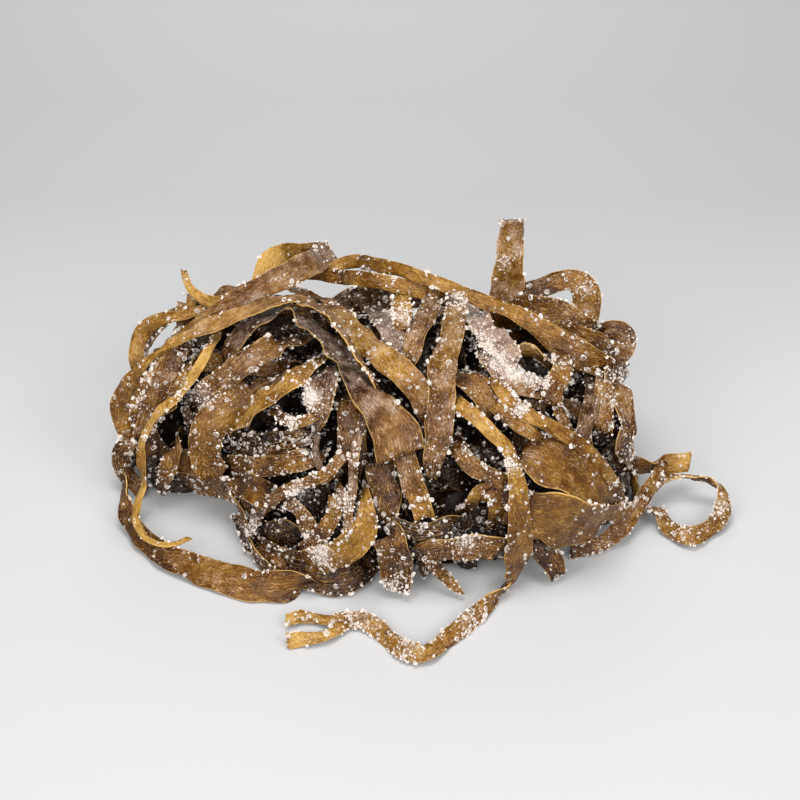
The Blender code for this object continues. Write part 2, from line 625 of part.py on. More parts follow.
def frames_along(rows, face):
    """Unit vectors along a strap, across its width and out of its face."""
    points, turns = rows[:, :3], rows[:, 4]
    along = np.gradient(points, axis=0)
    along /= np.linalg.norm(along, axis=1, keepdims=True)
    if face == "view":
        aim = sight_line(FRAME / 2, FRAME / 2)[1]
        wanted = np.repeat(-aim[None], len(rows), axis=0)
    else:
        wanted = outward(points)
    normals = np.empty_like(points)
    last = wanted[0]
    for i, (want, line) in enumerate(zip(wanted, along)):
        normal = want - line * want.dot(line) + 0.3 * (last - line * last.dot(line))
        last = normals[i] = normal / np.linalg.norm(normal)
    across = np.cross(along, normals)
    cosines, sines = np.cos(turns)[:, None], np.sin(turns)[:, None]
    turned = normals * cosines + across * sines
    return along, np.cross(along, turned), turned


def rested(rows, across, out):
    """The rows lifted where a strap would pass through the table."""
    half = np.abs(across[:, 2]) * rows[:, 3] / 2 + np.abs(out[:, 2]) * STRAP_THICK / 2
    rows[:, 2] = np.maximum(rows[:, 2], half + TABLE_GAP)
    return rows


def loft(name, sections):
    """A closed body through four-cornered sections."""
    count = len(sections)
    rings = np.arange(count * 4).reshape(count, 4)
    here, there = rings[:-1], rings[1:]
    sides = [
        np.stack([here[:, i], here[:, (i + 1) % 4], there[:, (i + 1) % 4], there[:, i]], axis=1)
        for i in range(4)
    ]
    faces = np.vstack([*sides, rings[0][None, ::-1], rings[-1][None]])
    mesh = bpy.data.meshes.new(name)
    mesh.from_pydata((sections.reshape(-1, 3) * MM).tolist(), [], faces.tolist())
    work = bmesh.new()
    work.from_mesh(mesh)
    bmesh.ops.triangulate(work, faces=work.faces)
    bmesh.ops.recalc_face_normals(work, faces=work.faces)
    work.to_mesh(mesh)
    work.free()
    return bpy.data.objects.new(name, mesh)


def strap(name, rows, face="out"):
    """A thin flat strap along its rows, with the places and directions of its outer face."""
    rows = resampled(evened(smooth_rows(rows)))
    _, across, out = frames_along(rows, face)
    rows = rested(rows, across, out)
    middle = rows[:, :3]
    half = across * rows[:, 3:4] / 2
    thick = out * STRAP_THICK / 2
    corners = [middle - half - thick, middle + half - thick, middle + half + thick,
               middle - half + thick]
    facing = np.sign((out * outward(middle)).sum(axis=1))[:, None]
    return loft(name, np.stack(corners, axis=1)), middle + thick * facing, out * facing


def back_rows(share_round, draw):
    """Rows of a strap over the back or a side: some drape down to the table, the rest run round."""
    drapes = draw.random() < BACK_DRAPES
    start = BACK_FROM + (BACK_TO - BACK_FROM) * share_round + draw.uniform(-0.1, 0.1)
    sweep = draw.choice((-1, 1)) * (draw.uniform(0.1, 0.5) if drapes else draw.uniform(0.6, 1.3))
    high, low = draw.uniform(0.7, 1.15), draw.uniform(-0.08, 0.02)
    level = draw.uniform(0.04, 0.7)
    wave, phase = draw.uniform(0.06, 0.2), draw.uniform(0, math.tau)
    lift, turn = draw.uniform(-4.5, 0.5), draw.uniform(-0.5, 0.5)
    wide = draw.uniform(4.5, 8.5)
    rows = []
    for share in np.linspace(0, 1, BACK_STOPS):
        azimuth = start + sweep * (share - 0.5) + wave * math.sin(phase + 5 * share)
        elevation = high + (low - high) * share if drapes else level + wave * math.sin(4 * share)
        sunk = share == 0.0 or (share == 1.0 and not drapes)
        risen = TUCK_LIFT if sunk else lift + 1.2 * math.sin(phase + 9 * share)
        place = place_round_heap(azimuth, elevation, risen)
        rows.append([*place, wide, turn + 0.6 * math.sin(phase + 5 * share)])
    return np.array(rows)


def core_lobe(index):
    """One lobe of the core: a flat-bottomed dome, lumpy like packed straps."""
    x, y, *halves = LOBES[index]
    halves = np.array(halves) - CORE_DEPTH
    work = bmesh.new()
    bmesh.ops.create_uvsphere(
        work, u_segments=CORE_SEGMENTS, v_segments=CORE_RINGS, radius=1.0
    )
    for vert in work.verts:
        unit = np.array(vert.co)
        waves = math.sin(5 * unit[0] + 2 * index) * math.cos(6 * unit[1] + 4 * unit[2])
        lump = 1 + CORE_LUMPS * waves
        size = (np.abs(unit) ** LOBE_POWER).sum() ** (1 / LOBE_POWER)
        place = unit / size * halves * lump + np.array([x, y, 0.0])
        vert.co = (place[0] * MM, place[1] * MM, max(place[2], 0.0) * MM)
    mesh = bpy.data.meshes.new(f"core_{index}")
    bmesh.ops.triangulate(work, faces=work.faces)
    work.to_mesh(mesh)
    work.free()
    return bpy.data.objects.new(f"core_{index}", mesh)


def crystal(name, place, size, draw):
    """A cube of salt, a little uneven and turned at random."""
    work = bmesh.new()
    bmesh.ops.create_cube(work, size=1.0)
    rotation = np.linalg.qr(np.array([[draw.gauss(0, 1) for _ in range(3)] for _ in range(3)]))[0]
    if np.linalg.det(rotation) < 0:
        rotation[:, 0] *= -1
    sides = size * np.array([draw.uniform(0.75, 1.0) for _ in range(3)])
    for vert in work.verts:
        vert.co = (rotation @ (np.array(vert.co) * sides) + place) * MM
    mesh = bpy.data.meshes.new(name)
    bmesh.ops.triangulate(work, faces=work.faces)
    work.to_mesh(mesh)
    work.free()
    return bpy.data.objects.new(name, mesh)


def crystals_on(places, normals, draw):
    """Salt on the outer faces, the largest first, no two close together."""
    order = list(range(len(places)))
    draw.shuffle(order)
    taken = []
    for i in order:
        far = all(np.linalg.norm(places[i] - places[j]) > CRYSTAL_SPACING for j in taken)
        if far and places[i][2] > CRYSTAL_LOWEST:
            taken.append(i)
        if len(taken) == CRYSTALS:
            break
    sizes = np.linspace(CRYSTAL_SIZES[1], CRYSTAL_SIZES[0], len(taken))
    return [
        crystal(f"crystal_{i}", places[j] + normals[j] * size * CRYSTAL_RAISED, size, draw)
        for i, (j, size) in enumerate(zip(taken, sizes))
    ]


def island_faces(work):
    """The faces of each loose body of a mesh."""
    left = set(work.faces)
    while left:
        island, edge = set(), [left.pop()]
        while edge:
            face = edge.pop()
            island.add(face)
            near = {f for e in face.edges for f in e.link_faces if f in left}
            left -= near
            edge.extend(near)
        yield list(island)


def island_volume(faces):
    return sum(
        face.verts[0].co.dot(face.verts[1].co.cross(face.verts[2].co)) / 6 for face in faces
    )


def runs_along(face, start, end):
    """Whether a face goes from start to end and not back."""
    return any(loop.vert is start and loop.link_loop_next.vert is end for loop in face.loops)


def open_pinch(work, edge):
    """Parts two walls of one edge: each gets a middle corner of its own, drawn into its solid."""
    start, end = edge.verts
    line = (end.co - start.co).normalized()
    middle = (start.co + end.co) / 2
    turns = []
    for face in edge.link_faces:
        tip = next(vert for vert in face.verts if vert not in edge.verts)
        side = tip.co - middle
        side = (side - line * side.dot(line)).normalized()
        turns.append((side, line.cross(side), face))
    first, first_up, _ = turns[0]
    turns.sort(key=lambda turn: math.atan2(turn[0].dot(first_up), turn[0].dot(first)) % math.tau)
    solid_follows = turns[0][2].normal.dot(turns[0][1]) < 0
    ordered = [turn[2] for turn in (turns if solid_follows else turns[1:] + turns[:1])]
    if runs_along(ordered[0], start, end) == runs_along(ordered[1], start, end):
        ordered = ordered[1:] + ordered[:1]
    for pair in zip(ordered[::2], ordered[1::2]):
        inward = -(pair[0].normal + pair[1].normal).normalized()
        corner = work.verts.new(middle + inward * TOUCH_GAP * MM)
        for face in pair:
            for left_out in (start, end):
                work.faces.new([corner if v is left_out else v for v in face.verts])
    bmesh.ops.delete(work, geom=ordered, context="FACES")


def drop_folds(work):
    """Removes pairs of faces folded flat on each other, with the same three corners."""
    alike = {}
    for face in work.faces:
        alike.setdefault(frozenset(face.verts), []).append(face)
    folds = [face for faces in alike.values() if len(faces) == 2 for face in faces]
    bmesh.ops.delete(work, geom=folds, context="FACES")
    print(f"{len(folds)} folded faces removed")


def open_pinches(work):
    """Parts the walls wherever two of them share an edge."""
    drop_folds(work)
    work.normal_update()
    pinched = [edge for edge in work.edges if len(edge.link_faces) == 4]
    for edge in pinched:
        if edge.is_valid and len(edge.link_faces) == 4:
            open_pinch(work, edge)
            work.normal_update()
    left = sum(len(edge.link_faces) != 2 for edge in work.edges)
    print(f"{len(pinched)} pinched edges opened, {left} edges left without two faces")


def keep_outer_body(mesh):
    """Fills sealed hollows and drops loose scraps: only the largest body stays."""
    work = bmesh.new()
    work.from_mesh(mesh)
    bmesh.ops.triangulate(work, faces=work.faces)
    islands = sorted(island_faces(work), key=island_volume)
    spare = [face for island in islands[:-1] for face in island]
    print(f"{len(islands) - 1} scraps and hollows removed")
    bmesh.ops.delete(work, geom=spare, context="FACES")
    bmesh.ops.delete(work, geom=[v for v in work.verts if not v.link_faces], context="VERTS")
    open_pinches(work)
    work.to_mesh(mesh)
    work.free()


def applied(piece):
    """The piece with its modifiers made part of its mesh."""
    graph = bpy.context.evaluated_depsgraph_get()
    mesh = bpy.data.meshes.new_from_object(piece.evaluated_get(graph))
    piece.modifiers.clear()
    piece.data = mesh
    return piece


def fused(base, others):
    """The base joined with the others by one Boolean union."""
    pieces = bpy.data.collections.new("pieces")
    bpy.context.scene.collection.children.link(pieces)
    for piece in others:
        pieces.objects.link(piece)
    union = base.modifiers.new("fuse", "BOOLEAN")
    union.operation = "UNION"
    union.operand_type = "COLLECTION"
    union.collection = pieces
    union.solver = "MANIFOLD"
    applied(base)
    for piece in others:
        bpy.data.objects.remove(piece)
    bpy.data.collections.remove(pieces)
    keep_outer_body(base.data)
    return base


def simplified(piece):
    """Fewer faces, where the union left many small ones, and no slivers."""
    fewer = piece.modifiers.new("fewer_faces", "DECIMATE")
    fewer.ratio = min(1.0, MOST_TRIANGLES / len(piece.data.polygons))
    fewer.use_collapse_triangulate = True
    mesh = applied(piece).data
    work = bmesh.new()
    work.from_mesh(mesh)
    bmesh.ops.dissolve_degenerate(work, dist=SLIVER * MM, edges=work.edges)
    bmesh.ops.triangulate(work, faces=work.faces)
    open_pinches(work)
    part_where_touching(work)
    work.to_mesh(mesh)
    work.free()


def part_where_touching(work):
    """Draws in the corners that lie on each other, so that two walls never share one."""
    work.normal_update()
    places = {}
    for vert in work.verts:
        places.setdefault(tuple(round(c / (SLIVER * MM)) for c in vert.co), []).append(vert)
    for verts in places.values():
        if len(verts) > 1:
            for vert in verts:
                vert.co -= vert.normal * TOUCH_GAP * MM


def seaweed_leather():
    material = bpy.data.materials.new("dried_seaweed")
    material.use_nodes = True
    shader = material.node_tree.nodes["Principled BSDF"]
    shader.inputs["Base Color"].default_value = LEATHER
    shader.inputs["Roughness"].default_value = 0.45
    shader.inputs["Metallic"].default_value = 0.0
    material.diffuse_color = LEATHER
    return material


def main():
    for old in list(bpy.data.objects):
        bpy.data.objects.remove(old)
    part = bpy.data.collections.new("dried_sea_spaghetti")
    bpy.context.scene.collection.children.link(part)

    made = [
        strap(name, strap_rows(entry), entry.get("face", "out")) for name, entry in STRAPS.items()
    ]
    draw = random.Random(BACK_SEED)
    made += [
        strap(f"back_{i}", back_rows(i / (BACK_STRAPS - 1), draw)) for i in range(BACK_STRAPS)
    ]
    straps = [piece for piece, _, _ in made]
    places = np.vstack([places for _, places, _ in made])
    normals = np.vstack([normals for _, _, normals in made])
    lobes = [core_lobe(i) for i in range(len(LOBES))]

    heap = lobes[0]
    heap.name = NAME
    part.objects.link(heap)
    fused(heap, [*lobes[1:], *straps, *crystals_on(places, normals, draw)])
    heap.data.name = NAME
    simplified(heap)
    heap.data.materials.append(seaweed_leather())
    print(len(heap.data.polygons), "triangles")


main()
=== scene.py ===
# %% [markdown]
# # Dried sea spaghetti
#
# Sea spaghetti is a seaweed of long flat straps, 4 to 10 mm wide and about a millimetre thick. Dried in
# coarse salt they turn to leather: ochre brown, golden where they are thin, with a grey bloom and
# crystals all over them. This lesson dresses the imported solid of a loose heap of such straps. Lengths are
# in millimetres, as on a ruler, and turn to metres only where they go into a mesh.

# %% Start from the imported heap
import math
import random

import bpy
import numpy as np
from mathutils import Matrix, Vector
from mathutils.bvhtree import BVHTree


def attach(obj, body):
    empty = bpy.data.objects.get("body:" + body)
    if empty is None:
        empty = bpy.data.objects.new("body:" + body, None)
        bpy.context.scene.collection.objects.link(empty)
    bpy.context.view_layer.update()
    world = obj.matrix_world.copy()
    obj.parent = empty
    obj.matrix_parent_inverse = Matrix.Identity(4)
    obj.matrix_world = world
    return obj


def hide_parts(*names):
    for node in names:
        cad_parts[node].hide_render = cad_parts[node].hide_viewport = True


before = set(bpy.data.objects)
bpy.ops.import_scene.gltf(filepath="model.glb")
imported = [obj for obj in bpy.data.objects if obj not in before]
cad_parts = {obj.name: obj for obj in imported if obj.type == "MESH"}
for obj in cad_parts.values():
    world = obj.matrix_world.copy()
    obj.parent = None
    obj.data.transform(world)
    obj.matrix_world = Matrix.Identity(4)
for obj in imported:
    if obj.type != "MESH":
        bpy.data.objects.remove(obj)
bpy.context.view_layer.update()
NODE = "sea_spaghetti_heap"
MM = 0.001

# %% [markdown]
# ## The outline of the heap
#
# A heap of straps has no surface of its own, so four rounded lobes say where its outside is. Each strap
# is then told how far it lies over or under that outline. A superellipsoid does this with five numbers a
# lobe, and it is a little boxier than an ellipsoid, as packed straps are.

# %% Lobes: centre x, centre y, half length, half depth, height
LOBES = np.array(
    [
        [16.0, 0.0, 56.0, 47.0, 54.0],
        [-38.0, 20.0, 38.0, 33.0, 50.0],
        [48.0, 4.0, 29.0, 34.0, 46.0],
        [-8.0, 18.0, 34.0, 35.0, 46.0],
    ]
)
LOBE_POWER = 2.4
HEAP_CENTRE = np.array([0.0, 6.0, 6.0])
NEAR_MISS = 1.12  # as a multiple of the distance from a lobe's centre to its outline
CLEAR_OVER = 0.2  # past a near miss, the stretch over which the direction turns straight up
CENTRES = np.insert(LOBES[:, :2], 2, 0.0, axis=1)
UP = np.array([0.0, 0.0, 1.0])


def lobe_levels(points, lift=0.0):
    """Per lobe (|x/a|^p + |y/b|^p + |z/c|^p)^(1/p): 1 on its outline grown by lift, less inside."""
    gaps = points[..., None, :] - CENTRES
    halves = LOBES[:, 2:] + lift
    return (np.abs(gaps / halves) ** LOBE_POWER).sum(axis=-1) ** (1 / LOBE_POWER)


def outward(points):
    """Unit directions out of the heap, the slope of the nearest lobe; clear of the heap, straight up."""
    levels = lobe_levels(points)
    nearest = levels.argmin(axis=1)
    shares = (points - CENTRES[nearest]) / LOBES[nearest, 2:]
    slopes = np.sign(shares) * np.abs(shares) ** (LOBE_POWER - 1) / LOBES[nearest, 2:]
    slopes /= np.linalg.norm(slopes, axis=1, keepdims=True)
    clear = np.clip((levels.min(axis=1) - NEAR_MISS) / CLEAR_OVER, 0.0, 1.0)[:, None]
    blended = slopes * (1 - clear) + UP * clear
    return blended / np.linalg.norm(blended, axis=1, keepdims=True)


print("four lobes,", 2 * LOBES[0, 2], "mm the longest")

# %% [markdown]
# ## The camera
#
# The heap lies on a table and is seen from 35 degrees above it, through a long lens, so its straps keep
# their sizes from front to back. The camera comes first because the straps' routes are read through it:
# a route is a list of places in an 800 x 800 frame.

# %% Camera
FRAME = 800
VIEW_TURN_DOWN = math.radians(35.0)
VIEW_DISTANCE = 540.0
VIEW_AIM = np.array([7.0, 0.0, 31.0])
LENS, SENSOR = 85.0, 36.0
VIEW_HALF_WIDTH = SENSOR / 2 / LENS  # half of the frame's width at a distance of 1
AHEAD = np.array([0.0, math.cos(VIEW_TURN_DOWN), -math.sin(VIEW_TURN_DOWN)])
ABOVE = np.array([0.0, math.sin(VIEW_TURN_DOWN), math.cos(VIEW_TURN_DOWN)])
EYE = VIEW_AIM - VIEW_DISTANCE * AHEAD

camera = bpy.data.objects.new("camera", bpy.data.cameras.new("camera"))
camera.data.lens = LENS
camera.data.sensor_width = SENSOR
camera.data.clip_start = 0.01
camera.location = EYE * MM
camera.rotation_euler = (math.pi / 2 - VIEW_TURN_DOWN, 0.0, 0.0)
bpy.context.scene.collection.objects.link(camera)
bpy.context.scene.camera = camera
print("camera at", EYE.round(), "mm")

# %% Places in the frame
def sight_line(across, down):
    """The direction in which the eye sees a place of the frame; one unit of it is one of depth."""
    half = FRAME / 2
    sideways = (across - half) / half * VIEW_HALF_WIDTH
    upwards = (half - down) / half * VIEW_HALF_WIDTH
    return AHEAD + np.array([sideways, 0.0, 0.0]) + upwards * ABOVE


def place_over_table(across, down, height):
    """Where the line of sight is at this height over the table."""
    direction = sight_line(across, down)
    return EYE + direction * (height - EYE[2]) / direction[2]


def place_in_frame(points):
    """The places across and down at which the eye sees points: the sight line worked backwards."""
    gaps = points - EYE
    depth = gaps @ AHEAD
    half = FRAME / 2
    across = half + gaps[:, 0] / depth / VIEW_HALF_WIDTH * half
    down = half - gaps @ ABOVE / depth / VIEW_HALF_WIDTH * half
    return np.stack([across, down], axis=1)


print("the middle of the frame meets the table at", place_over_table(400, 400, 0).round(), "mm")

# %% Places on the heap
CAD_THICK = 1.3  # the thickness of the straps in the solid
SIGHT_DEPTHS = np.arange(360.0, 800.0, 0.5)  # mm from the eye, on every line of sight
REACHES = np.arange(130.0, 0.0, -0.5)  # mm from the heap's centre, from outside in


def place_on_heap(across, down, lift):
    """Where the line of sight first meets the lobes grown by lift, or the table raised by it.

    A line that just misses the lobes, or passes over them, stops where it is closest to them.
    """
    direction = sight_line(across, down)
    points = EYE + SIGHT_DEPTHS[:, None] * direction
    levels = lobe_levels(points, lift).min(axis=1)
    above = points[:, 2] > max(lift, 0.0) + CAD_THICK
    met = np.flatnonzero((levels <= 1.0) | ~above)[0]
    nearest = np.argmin(np.where(above, levels, np.inf))
    passed_by = levels[met] > 1.0 and (levels[nearest] < NEAR_MISS or points[met, 1] > HEAP_CENTRE[1])
    return points[nearest if passed_by else met]


def place_round_heap(azimuth, elevation, lift):
    """The outermost point of the lobes grown by lift, seen from the heap's centre."""
    flat = math.cos(elevation)
    direction = np.array([flat * math.cos(azimuth), flat * math.sin(azimuth), math.sin(elevation)])
    points = HEAP_CENTRE + REACHES[:, None] * direction
    inside = lobe_levels(points, lift).min(axis=1) <= 1.0
    point = points[np.argmax(inside)]
    point[2] = max(point[2], CAD_THICK)
    return point


print("and the heap at", place_on_heap(400, 400, 0).round(), "mm")

# %% [markdown]
# ## The straps that show
#
# Every strap is one entry of this table, laid one by one like the real one. A stop on its route is a place
# in the frame and a lift in mm over the outline of the heap, or over the table where "over" says so.
# Widths in mm, turns about its own line in degrees, tone (0 dark, 1 golden), salt and bloom (0 none, 1
# all over) are spread evenly along it, and a single value holds all along. "free" says which ends lie
# open: the others go down into the heap. "face" says that a strap shows its flat side to the eye, not
# straight out of the heap.

# %% Table of the straps
# A low tone on a strap that lies in a hollow or shows its underside also paints its shade, and its
# mauve-grey bloom is partly painted sheen.
STRAPS = {
    "left_back_loop": {
        "route": [(222, 304, 2), (207, 309, 3), (192, 313, 4), (178, 316, 5), (164, 318, 5.5),
                  (152, 323, 5.5), (142, 332, 5), (137, 345, 4.4), (136, 358, 3.4), (140, 372, 1)],
        "wide": (3, 3.2, 3, 2.8, 3.6, 4.6, 5, 4.6, 4.4, 4), "turn": (0, 0, 5, 0),
        "tone": (0.75, 0.8, 0.7), "salt": 0.08, "bloom": 0.3, "face": "view",
    },
    "curled_tip": {
        "route": [(229, 302, 3), (216, 303, 4), (204, 300, 6), (194, 293, 8), (187, 283, 9),
                  (184, 271, 10)],
        "wide": (4.6, 4.2, 3.2, 2.6, 2.2, 1.8), "turn": (0, 10, 20), "tone": (0.7, 0.95), "salt": 0.04,
        "bloom": 0.1, "free": "end", "face": "view",
    },
    "split_stub": {
        "route": [(184, 336, 0), (184, 320, 2), (182, 303, 4)],
        "wide": (4.6, 4.6, 3.2), "turn": 10, "tone": (0.4, 0.6, 0.95), "salt": 0.15,
        "bloom": (0.6, 0.3, 0), "free": "end", "face": "view",
    },
    "split_stub_prong": {
        "route": [(186, 318, 2), (191, 308, 4), (191, 296, 5)],
        "wide": (3.4, 3.2, 2.2), "turn": 10, "tone": (0.6, 0.95), "salt": 0.15, "bloom": (0.3, 0),
        "free": "end", "face": "view",
    },
    "upper_left_diagonal": {
        "route": [(180, 335, 3), (196, 325, 5), (212, 316, 6), (230, 305, 7), (250, 293.5, 8.5),
                  (271, 283, 10.5), (291, 273, 12.5), (311, 263, 14), (332, 252, 14)],
        "wide": (2.2, 3.4, 5, 6.2, 6.8, 7.2, 7.4, 7.6, 7.4), "turn": (0, 5, 10, 10, 5),
        "tone": (0.75, 0.6, 0.6), "salt": (0.1, 0.15, 0.3), "bloom": (0.3, 0.6, 0.6), "free": "end",
        "face": "view",
    },
    "top_flap": {
        "route": [(259, 291, 5), (263, 277, 9), (271, 264, 11), (284, 256, 12), (302, 253, 12),
                  (322, 251, 11)],
        "wide": (5, 6.6, 8, 7.4, 6, 5), "turn": (10, 0, 0, 5, 0), "tone": (1, 1, 0.7, 0.6),
        "salt": (0.1, 0.3), "bloom": (0, 0.2, 0.5), "free": "end", "face": "view",
    },
    "ridge_long": {
        "route": [(332, 268, 11), (345, 262, 12), (357, 261.5, 12), (370, 263.5, 12), (385, 266.5, 12),
                  (402, 270.5, 12), (424, 278, 11), (445, 285.5, 10), (465, 294, 9), (487, 303, 8),
                  (508, 310, 7), (528, 320, 6), (548, 334, 5), (570, 349, 5), (592, 360, 4),
                  (610, 372, 2)],
        "wide": (3.4, 4, 4.2, 4.2, 4.2, 4, 3.8, 3.8, 4, 4.2, 4.2, 5, 6.6, 8, 7.6, 6),
        "turn": (0, 10, 5, 10, 5, 0, -10, 0, 5, 10), "tone": (0.75, 0.7, 0.65, 0.6, 0.55),
        "salt": (0.1, 0.15, 0.15, 0.4, 0.4), "bloom": (0.1, 0.2), "face": "view",
    },
    "ridge_inner": {
        "route": [(322, 275, 9), (340, 277, 10), (356, 278, 10), (368, 279.5, 10), (388, 283, 9),
                  (403, 287, 8), (422, 291, 7), (442, 298, 6)],
        "wide": (3.6, 4.4, 4.4, 4.4, 4.4, 4.6, 4.6, 4.4), "turn": (0, 10, 0), "tone": 0.65, "salt": 0.35,
        "bloom": 0.2, "face": "view",
    },
    "behind_gap": {
        "route": [(334, 312, 0), (346, 305, 1), (364, 299, 2), (388, 296, 3), (404, 296, 2)],
        "wide": (7, 8.4, 9, 8.4, 7), "turn": 0, "tone": 0.25, "salt": 0.6, "bloom": 0.4, "face": "view",
    },
    "outer_arch": {
        "route": [(134, 451, 1), (127, 437, 2.4), (122, 424, 3.6), (120, 411, 4), (123, 398, 4.4),
                  (131, 383, 5), (143, 366, 6), (157, 353, 7), (173, 343, 8), (192, 333, 8.4),
                  (214, 324, 9), (238, 314.5, 9), (261, 305.5, 9), (282, 299.5, 9), (300, 300, 9),
                  (315, 307, 9), (330, 318, 9), (342, 332, 9), (352, 347, 9), (362, 364, 9),
                  (374, 382, 8)],

        "wide": (3.6, 4.2, 5, 5.8, 6.6, 5.6, 2.6, 1.9, 2.4, 3.8, 4.8, 5.2, 5.6, 6, 6.2, 6, 5.4, 5, 4.6,
                 4.5, 4.5),
        "turn": (0, 0, 0, 0, 0, 0, 0, -5, -10, -20, -25, -35, -50, -60, -65, -70, -75, -75, -75, -75,
                 -75), "tone": (0.75, 0.75, 0.6, 0.5), "salt": (0.3, 0.15, 0.12, 0.1),
        "bloom": (0.2, 0.4, 0.5), "face": "view",
    },
    "inner_arch": {
        "route": [(226, 362, 0), (235, 342, 3), (250, 326, 5), (268, 316, 6), (288, 313, 7),
                  (308, 322, 7), (325, 339, 7), (340, 357, 7), (352, 374, 8), (363, 388, 8.5),
                  (375, 402, 9), (387, 418, 9), (395, 434, 8.5), (401, 456, 8)],
        "wide": (6, 7, 7.4, 8, 8.6, 9, 9, 9, 9, 9, 10, 11.5, 13, 13.4),
        "turn": (-25, -28, -32, -40, -48, -50, -45, -45, -35, -20, -10, 0, 0),
        "tone": (0.35, 0.3, 0.3, 0.55), "salt": (0.1, 0.08), "bloom": (0.4, 0.6, 0.3), "free": "end",
    },
    "behind_arch": {
        "route": [(262, 334, 0), (277, 319, 1.5), (294, 309, 2.5), (312, 312, 2), (328, 324, 1)],
        "wide": (6, 8, 9, 9, 7), "turn": 0, "tone": 0.25, "salt": 0.3, "bloom": 0.2, "face": "view",
    },
    "right_of_arch": {
        "route": [(300, 292, 5), (320, 302, 5), (340, 317, 5), (357, 334, 5), (376, 351, 5),
                  (395, 367, 5), (413, 383, 4), (425, 400, 3), (430, 422, 1)],
        "wide": (5, 6, 6.5, 6.5, 7, 7.5, 7.5, 7, 6), "turn": (0, 0, 10, 15, 20), "tone": 0.68,
        "salt": 0.45, "bloom": 0.35,
    },
    "centre_vertical": {
        "route": [(457, 303, 7), (455, 320, 7), (450, 340, 7), (444, 360, 7), (441, 380, 7),
                  (441, 400, 7), (440, 420, 7), (438, 440, 6), (433, 460, 5), (431, 479, 4)],
        "wide": (5.5, 6, 6.8, 7.3, 7.6, 7.6, 7.6, 7, 5.5, 3), "turn": (10, 0, -10, 0, 10),
        "tone": (0.6, 0.5, 0.4, 0.4), "salt": (0.5, 0.8, 0.8, 0.6), "bloom": 0.4, "free": "start end",
    },
    "centre_second": {
        "route": [(435, 298, 6), (426, 315, 6), (419, 330, 5), (413, 346, 4), (408, 362, 2)],
        "wide": 5.8, "turn": (0, 15), "tone": 0.5, "salt": 0.9, "bloom": 0.4, "free": "start",
    },
    "centre_lower_flap": {
        "route": [(399, 440, 3), (405, 460, 5), (412, 480, 6), (419, 500, 6), (426, 518, 5)],
        "wide": (6, 6.2, 6.2, 6, 5.2), "turn": (0, 10, 0), "tone": (0.45, 0.6, 0.8), "salt": 0.35,
        "bloom": (0.5, 0.3), "free": "end",
    },
    "long_tail": {
        "route": [(457, 403, 6), (472, 414, 8), (486, 427, 9), (500, 440, 9), (511, 453, 9),
                  (514, 470, 9), (517, 486, 9), (519, 503, 8), (519, 522, 7), (519, 545, 5),
                  (517, 566, 3), (510, 582, 2), (498, 595, 1.2), (485, 607, 0.8), (470, 620, 0.6),
                  (455, 633, 0.6), (440, 645, 0.6), (427, 653, 1), (414, 654, 1), (400, 648, 0.6),
                  (389, 639, 0.6), (378, 629, 0.6), (366, 621, 0.8), (353, 619, 0.6), (338, 624, 0.6)],

        "wide": (3.8, 4, 4, 4, 3.5, 4.2, 5, 5.6, 6.6, 7.6, 7.6, 6, 4.6, 5, 5.2, 5, 4.8, 5.2, 5.4, 5, 5,
                 5.2, 5, 4.8, 6),
        "turn": (20, 20, 10, 0, -20, -10, 0, 0, 0, -10, -20, -30, -25, -20, -25, -35, -30, -20, -35, -30,
                 -20, -25, -30, -20, -15), "tone": (0.8, 0.75, 0.7, 0.65, 0.65, 0.7),
        "salt": (0.2, 0.4, 0.6, 0.9, 0.9, 0.9), "bloom": (0.2, 0.3), "free": "end",
    },
    "tail_prong_back": {
        "route": [(350, 618, 0.8), (334, 621, 0.8), (320, 618, 1), (305, 617, 0.8), (286, 621, 0.8)],
        "wide": (3.5, 3.5, 3.2, 3.2, 3.4), "turn": (-20, -30, -15, -30), "tone": (0.75, 0.9), "salt": 0.9,
        "bloom": 0.2, "free": "start end",
    },
    "tail_prong_front": {
        "route": [(344, 624, 0.8), (333, 633, 0.6), (319, 638, 0.8), (304, 639, 0.6), (287, 641, 0.6)],
        "wide": (3.8, 3.6, 3.4, 3.8, 4.4), "turn": (-25, -15, -30, -15), "tone": (0.75, 1), "salt": 0.8,
        "bloom": 0.1, "free": "start end",
    },
    "under_knee": {
        "route": [(458, 445, 2), (465, 460, 4), (475, 469, 5), (490, 475, 6), (508, 484, 6)],
        "wide": 4.5, "turn": (0, 20, 0), "tone": 0.5, "salt": 0.7, "bloom": 0.3,
    },
    "knee_curl": {
        "route": [(474, 500, 1), (481, 492, 3), (492, 491, 4), (500, 499, 4), (497, 514, 2)],
        "wide": (4.6, 5, 5), "turn": (30, 0, -20), "tone": 0.8, "salt": 0.5, "bloom": 0.1, "face": "view",
    },
    "blade_upper": {
        "route": [(525, 447, 3), (541, 455, 5), (560, 465, 6), (583, 477, 6), (604, 490, 5),
                  (623, 504, 4)],
        "wide": (11, 14.5, 16, 14, 9, 3), "turn": (-15, -15, -15, -15, -10), "tone": 0.6, "salt": 0.3,
        "bloom": 0.3, "free": "start end",
    },
    "blade_lower": {
        "route": [(502, 500, 4), (530, 511, 6), (560, 521, 7), (586, 524, 6), (606, 516, 5),
                  (624, 507, 4)],
        "wide": (11, 14.5, 17, 16, 9, 3), "turn": (15, 20, 25, 25, 20), "tone": 0.65, "salt": 0.35,
        "bloom": 0.3, "free": "end",
    },
    "blade_edge": {
        "route": [(494, 378, 4), (504, 394, 6), (522, 410, 7), (546, 424, 7), (575, 441, 7),
                  (598, 460, 6), (612, 480, 5), (621, 497, 4)],
        "wide": (3.6, 3.8, 3.8, 3.6, 3.4, 3), "turn": (0, -10), "tone": 0.62, "salt": 0.4, "bloom": 0.1,
        "face": "view",
    },
    "blade_second": {
        "route": [(494, 404, 4), (508, 417, 5), (524, 429, 6), (540, 439, 5)],
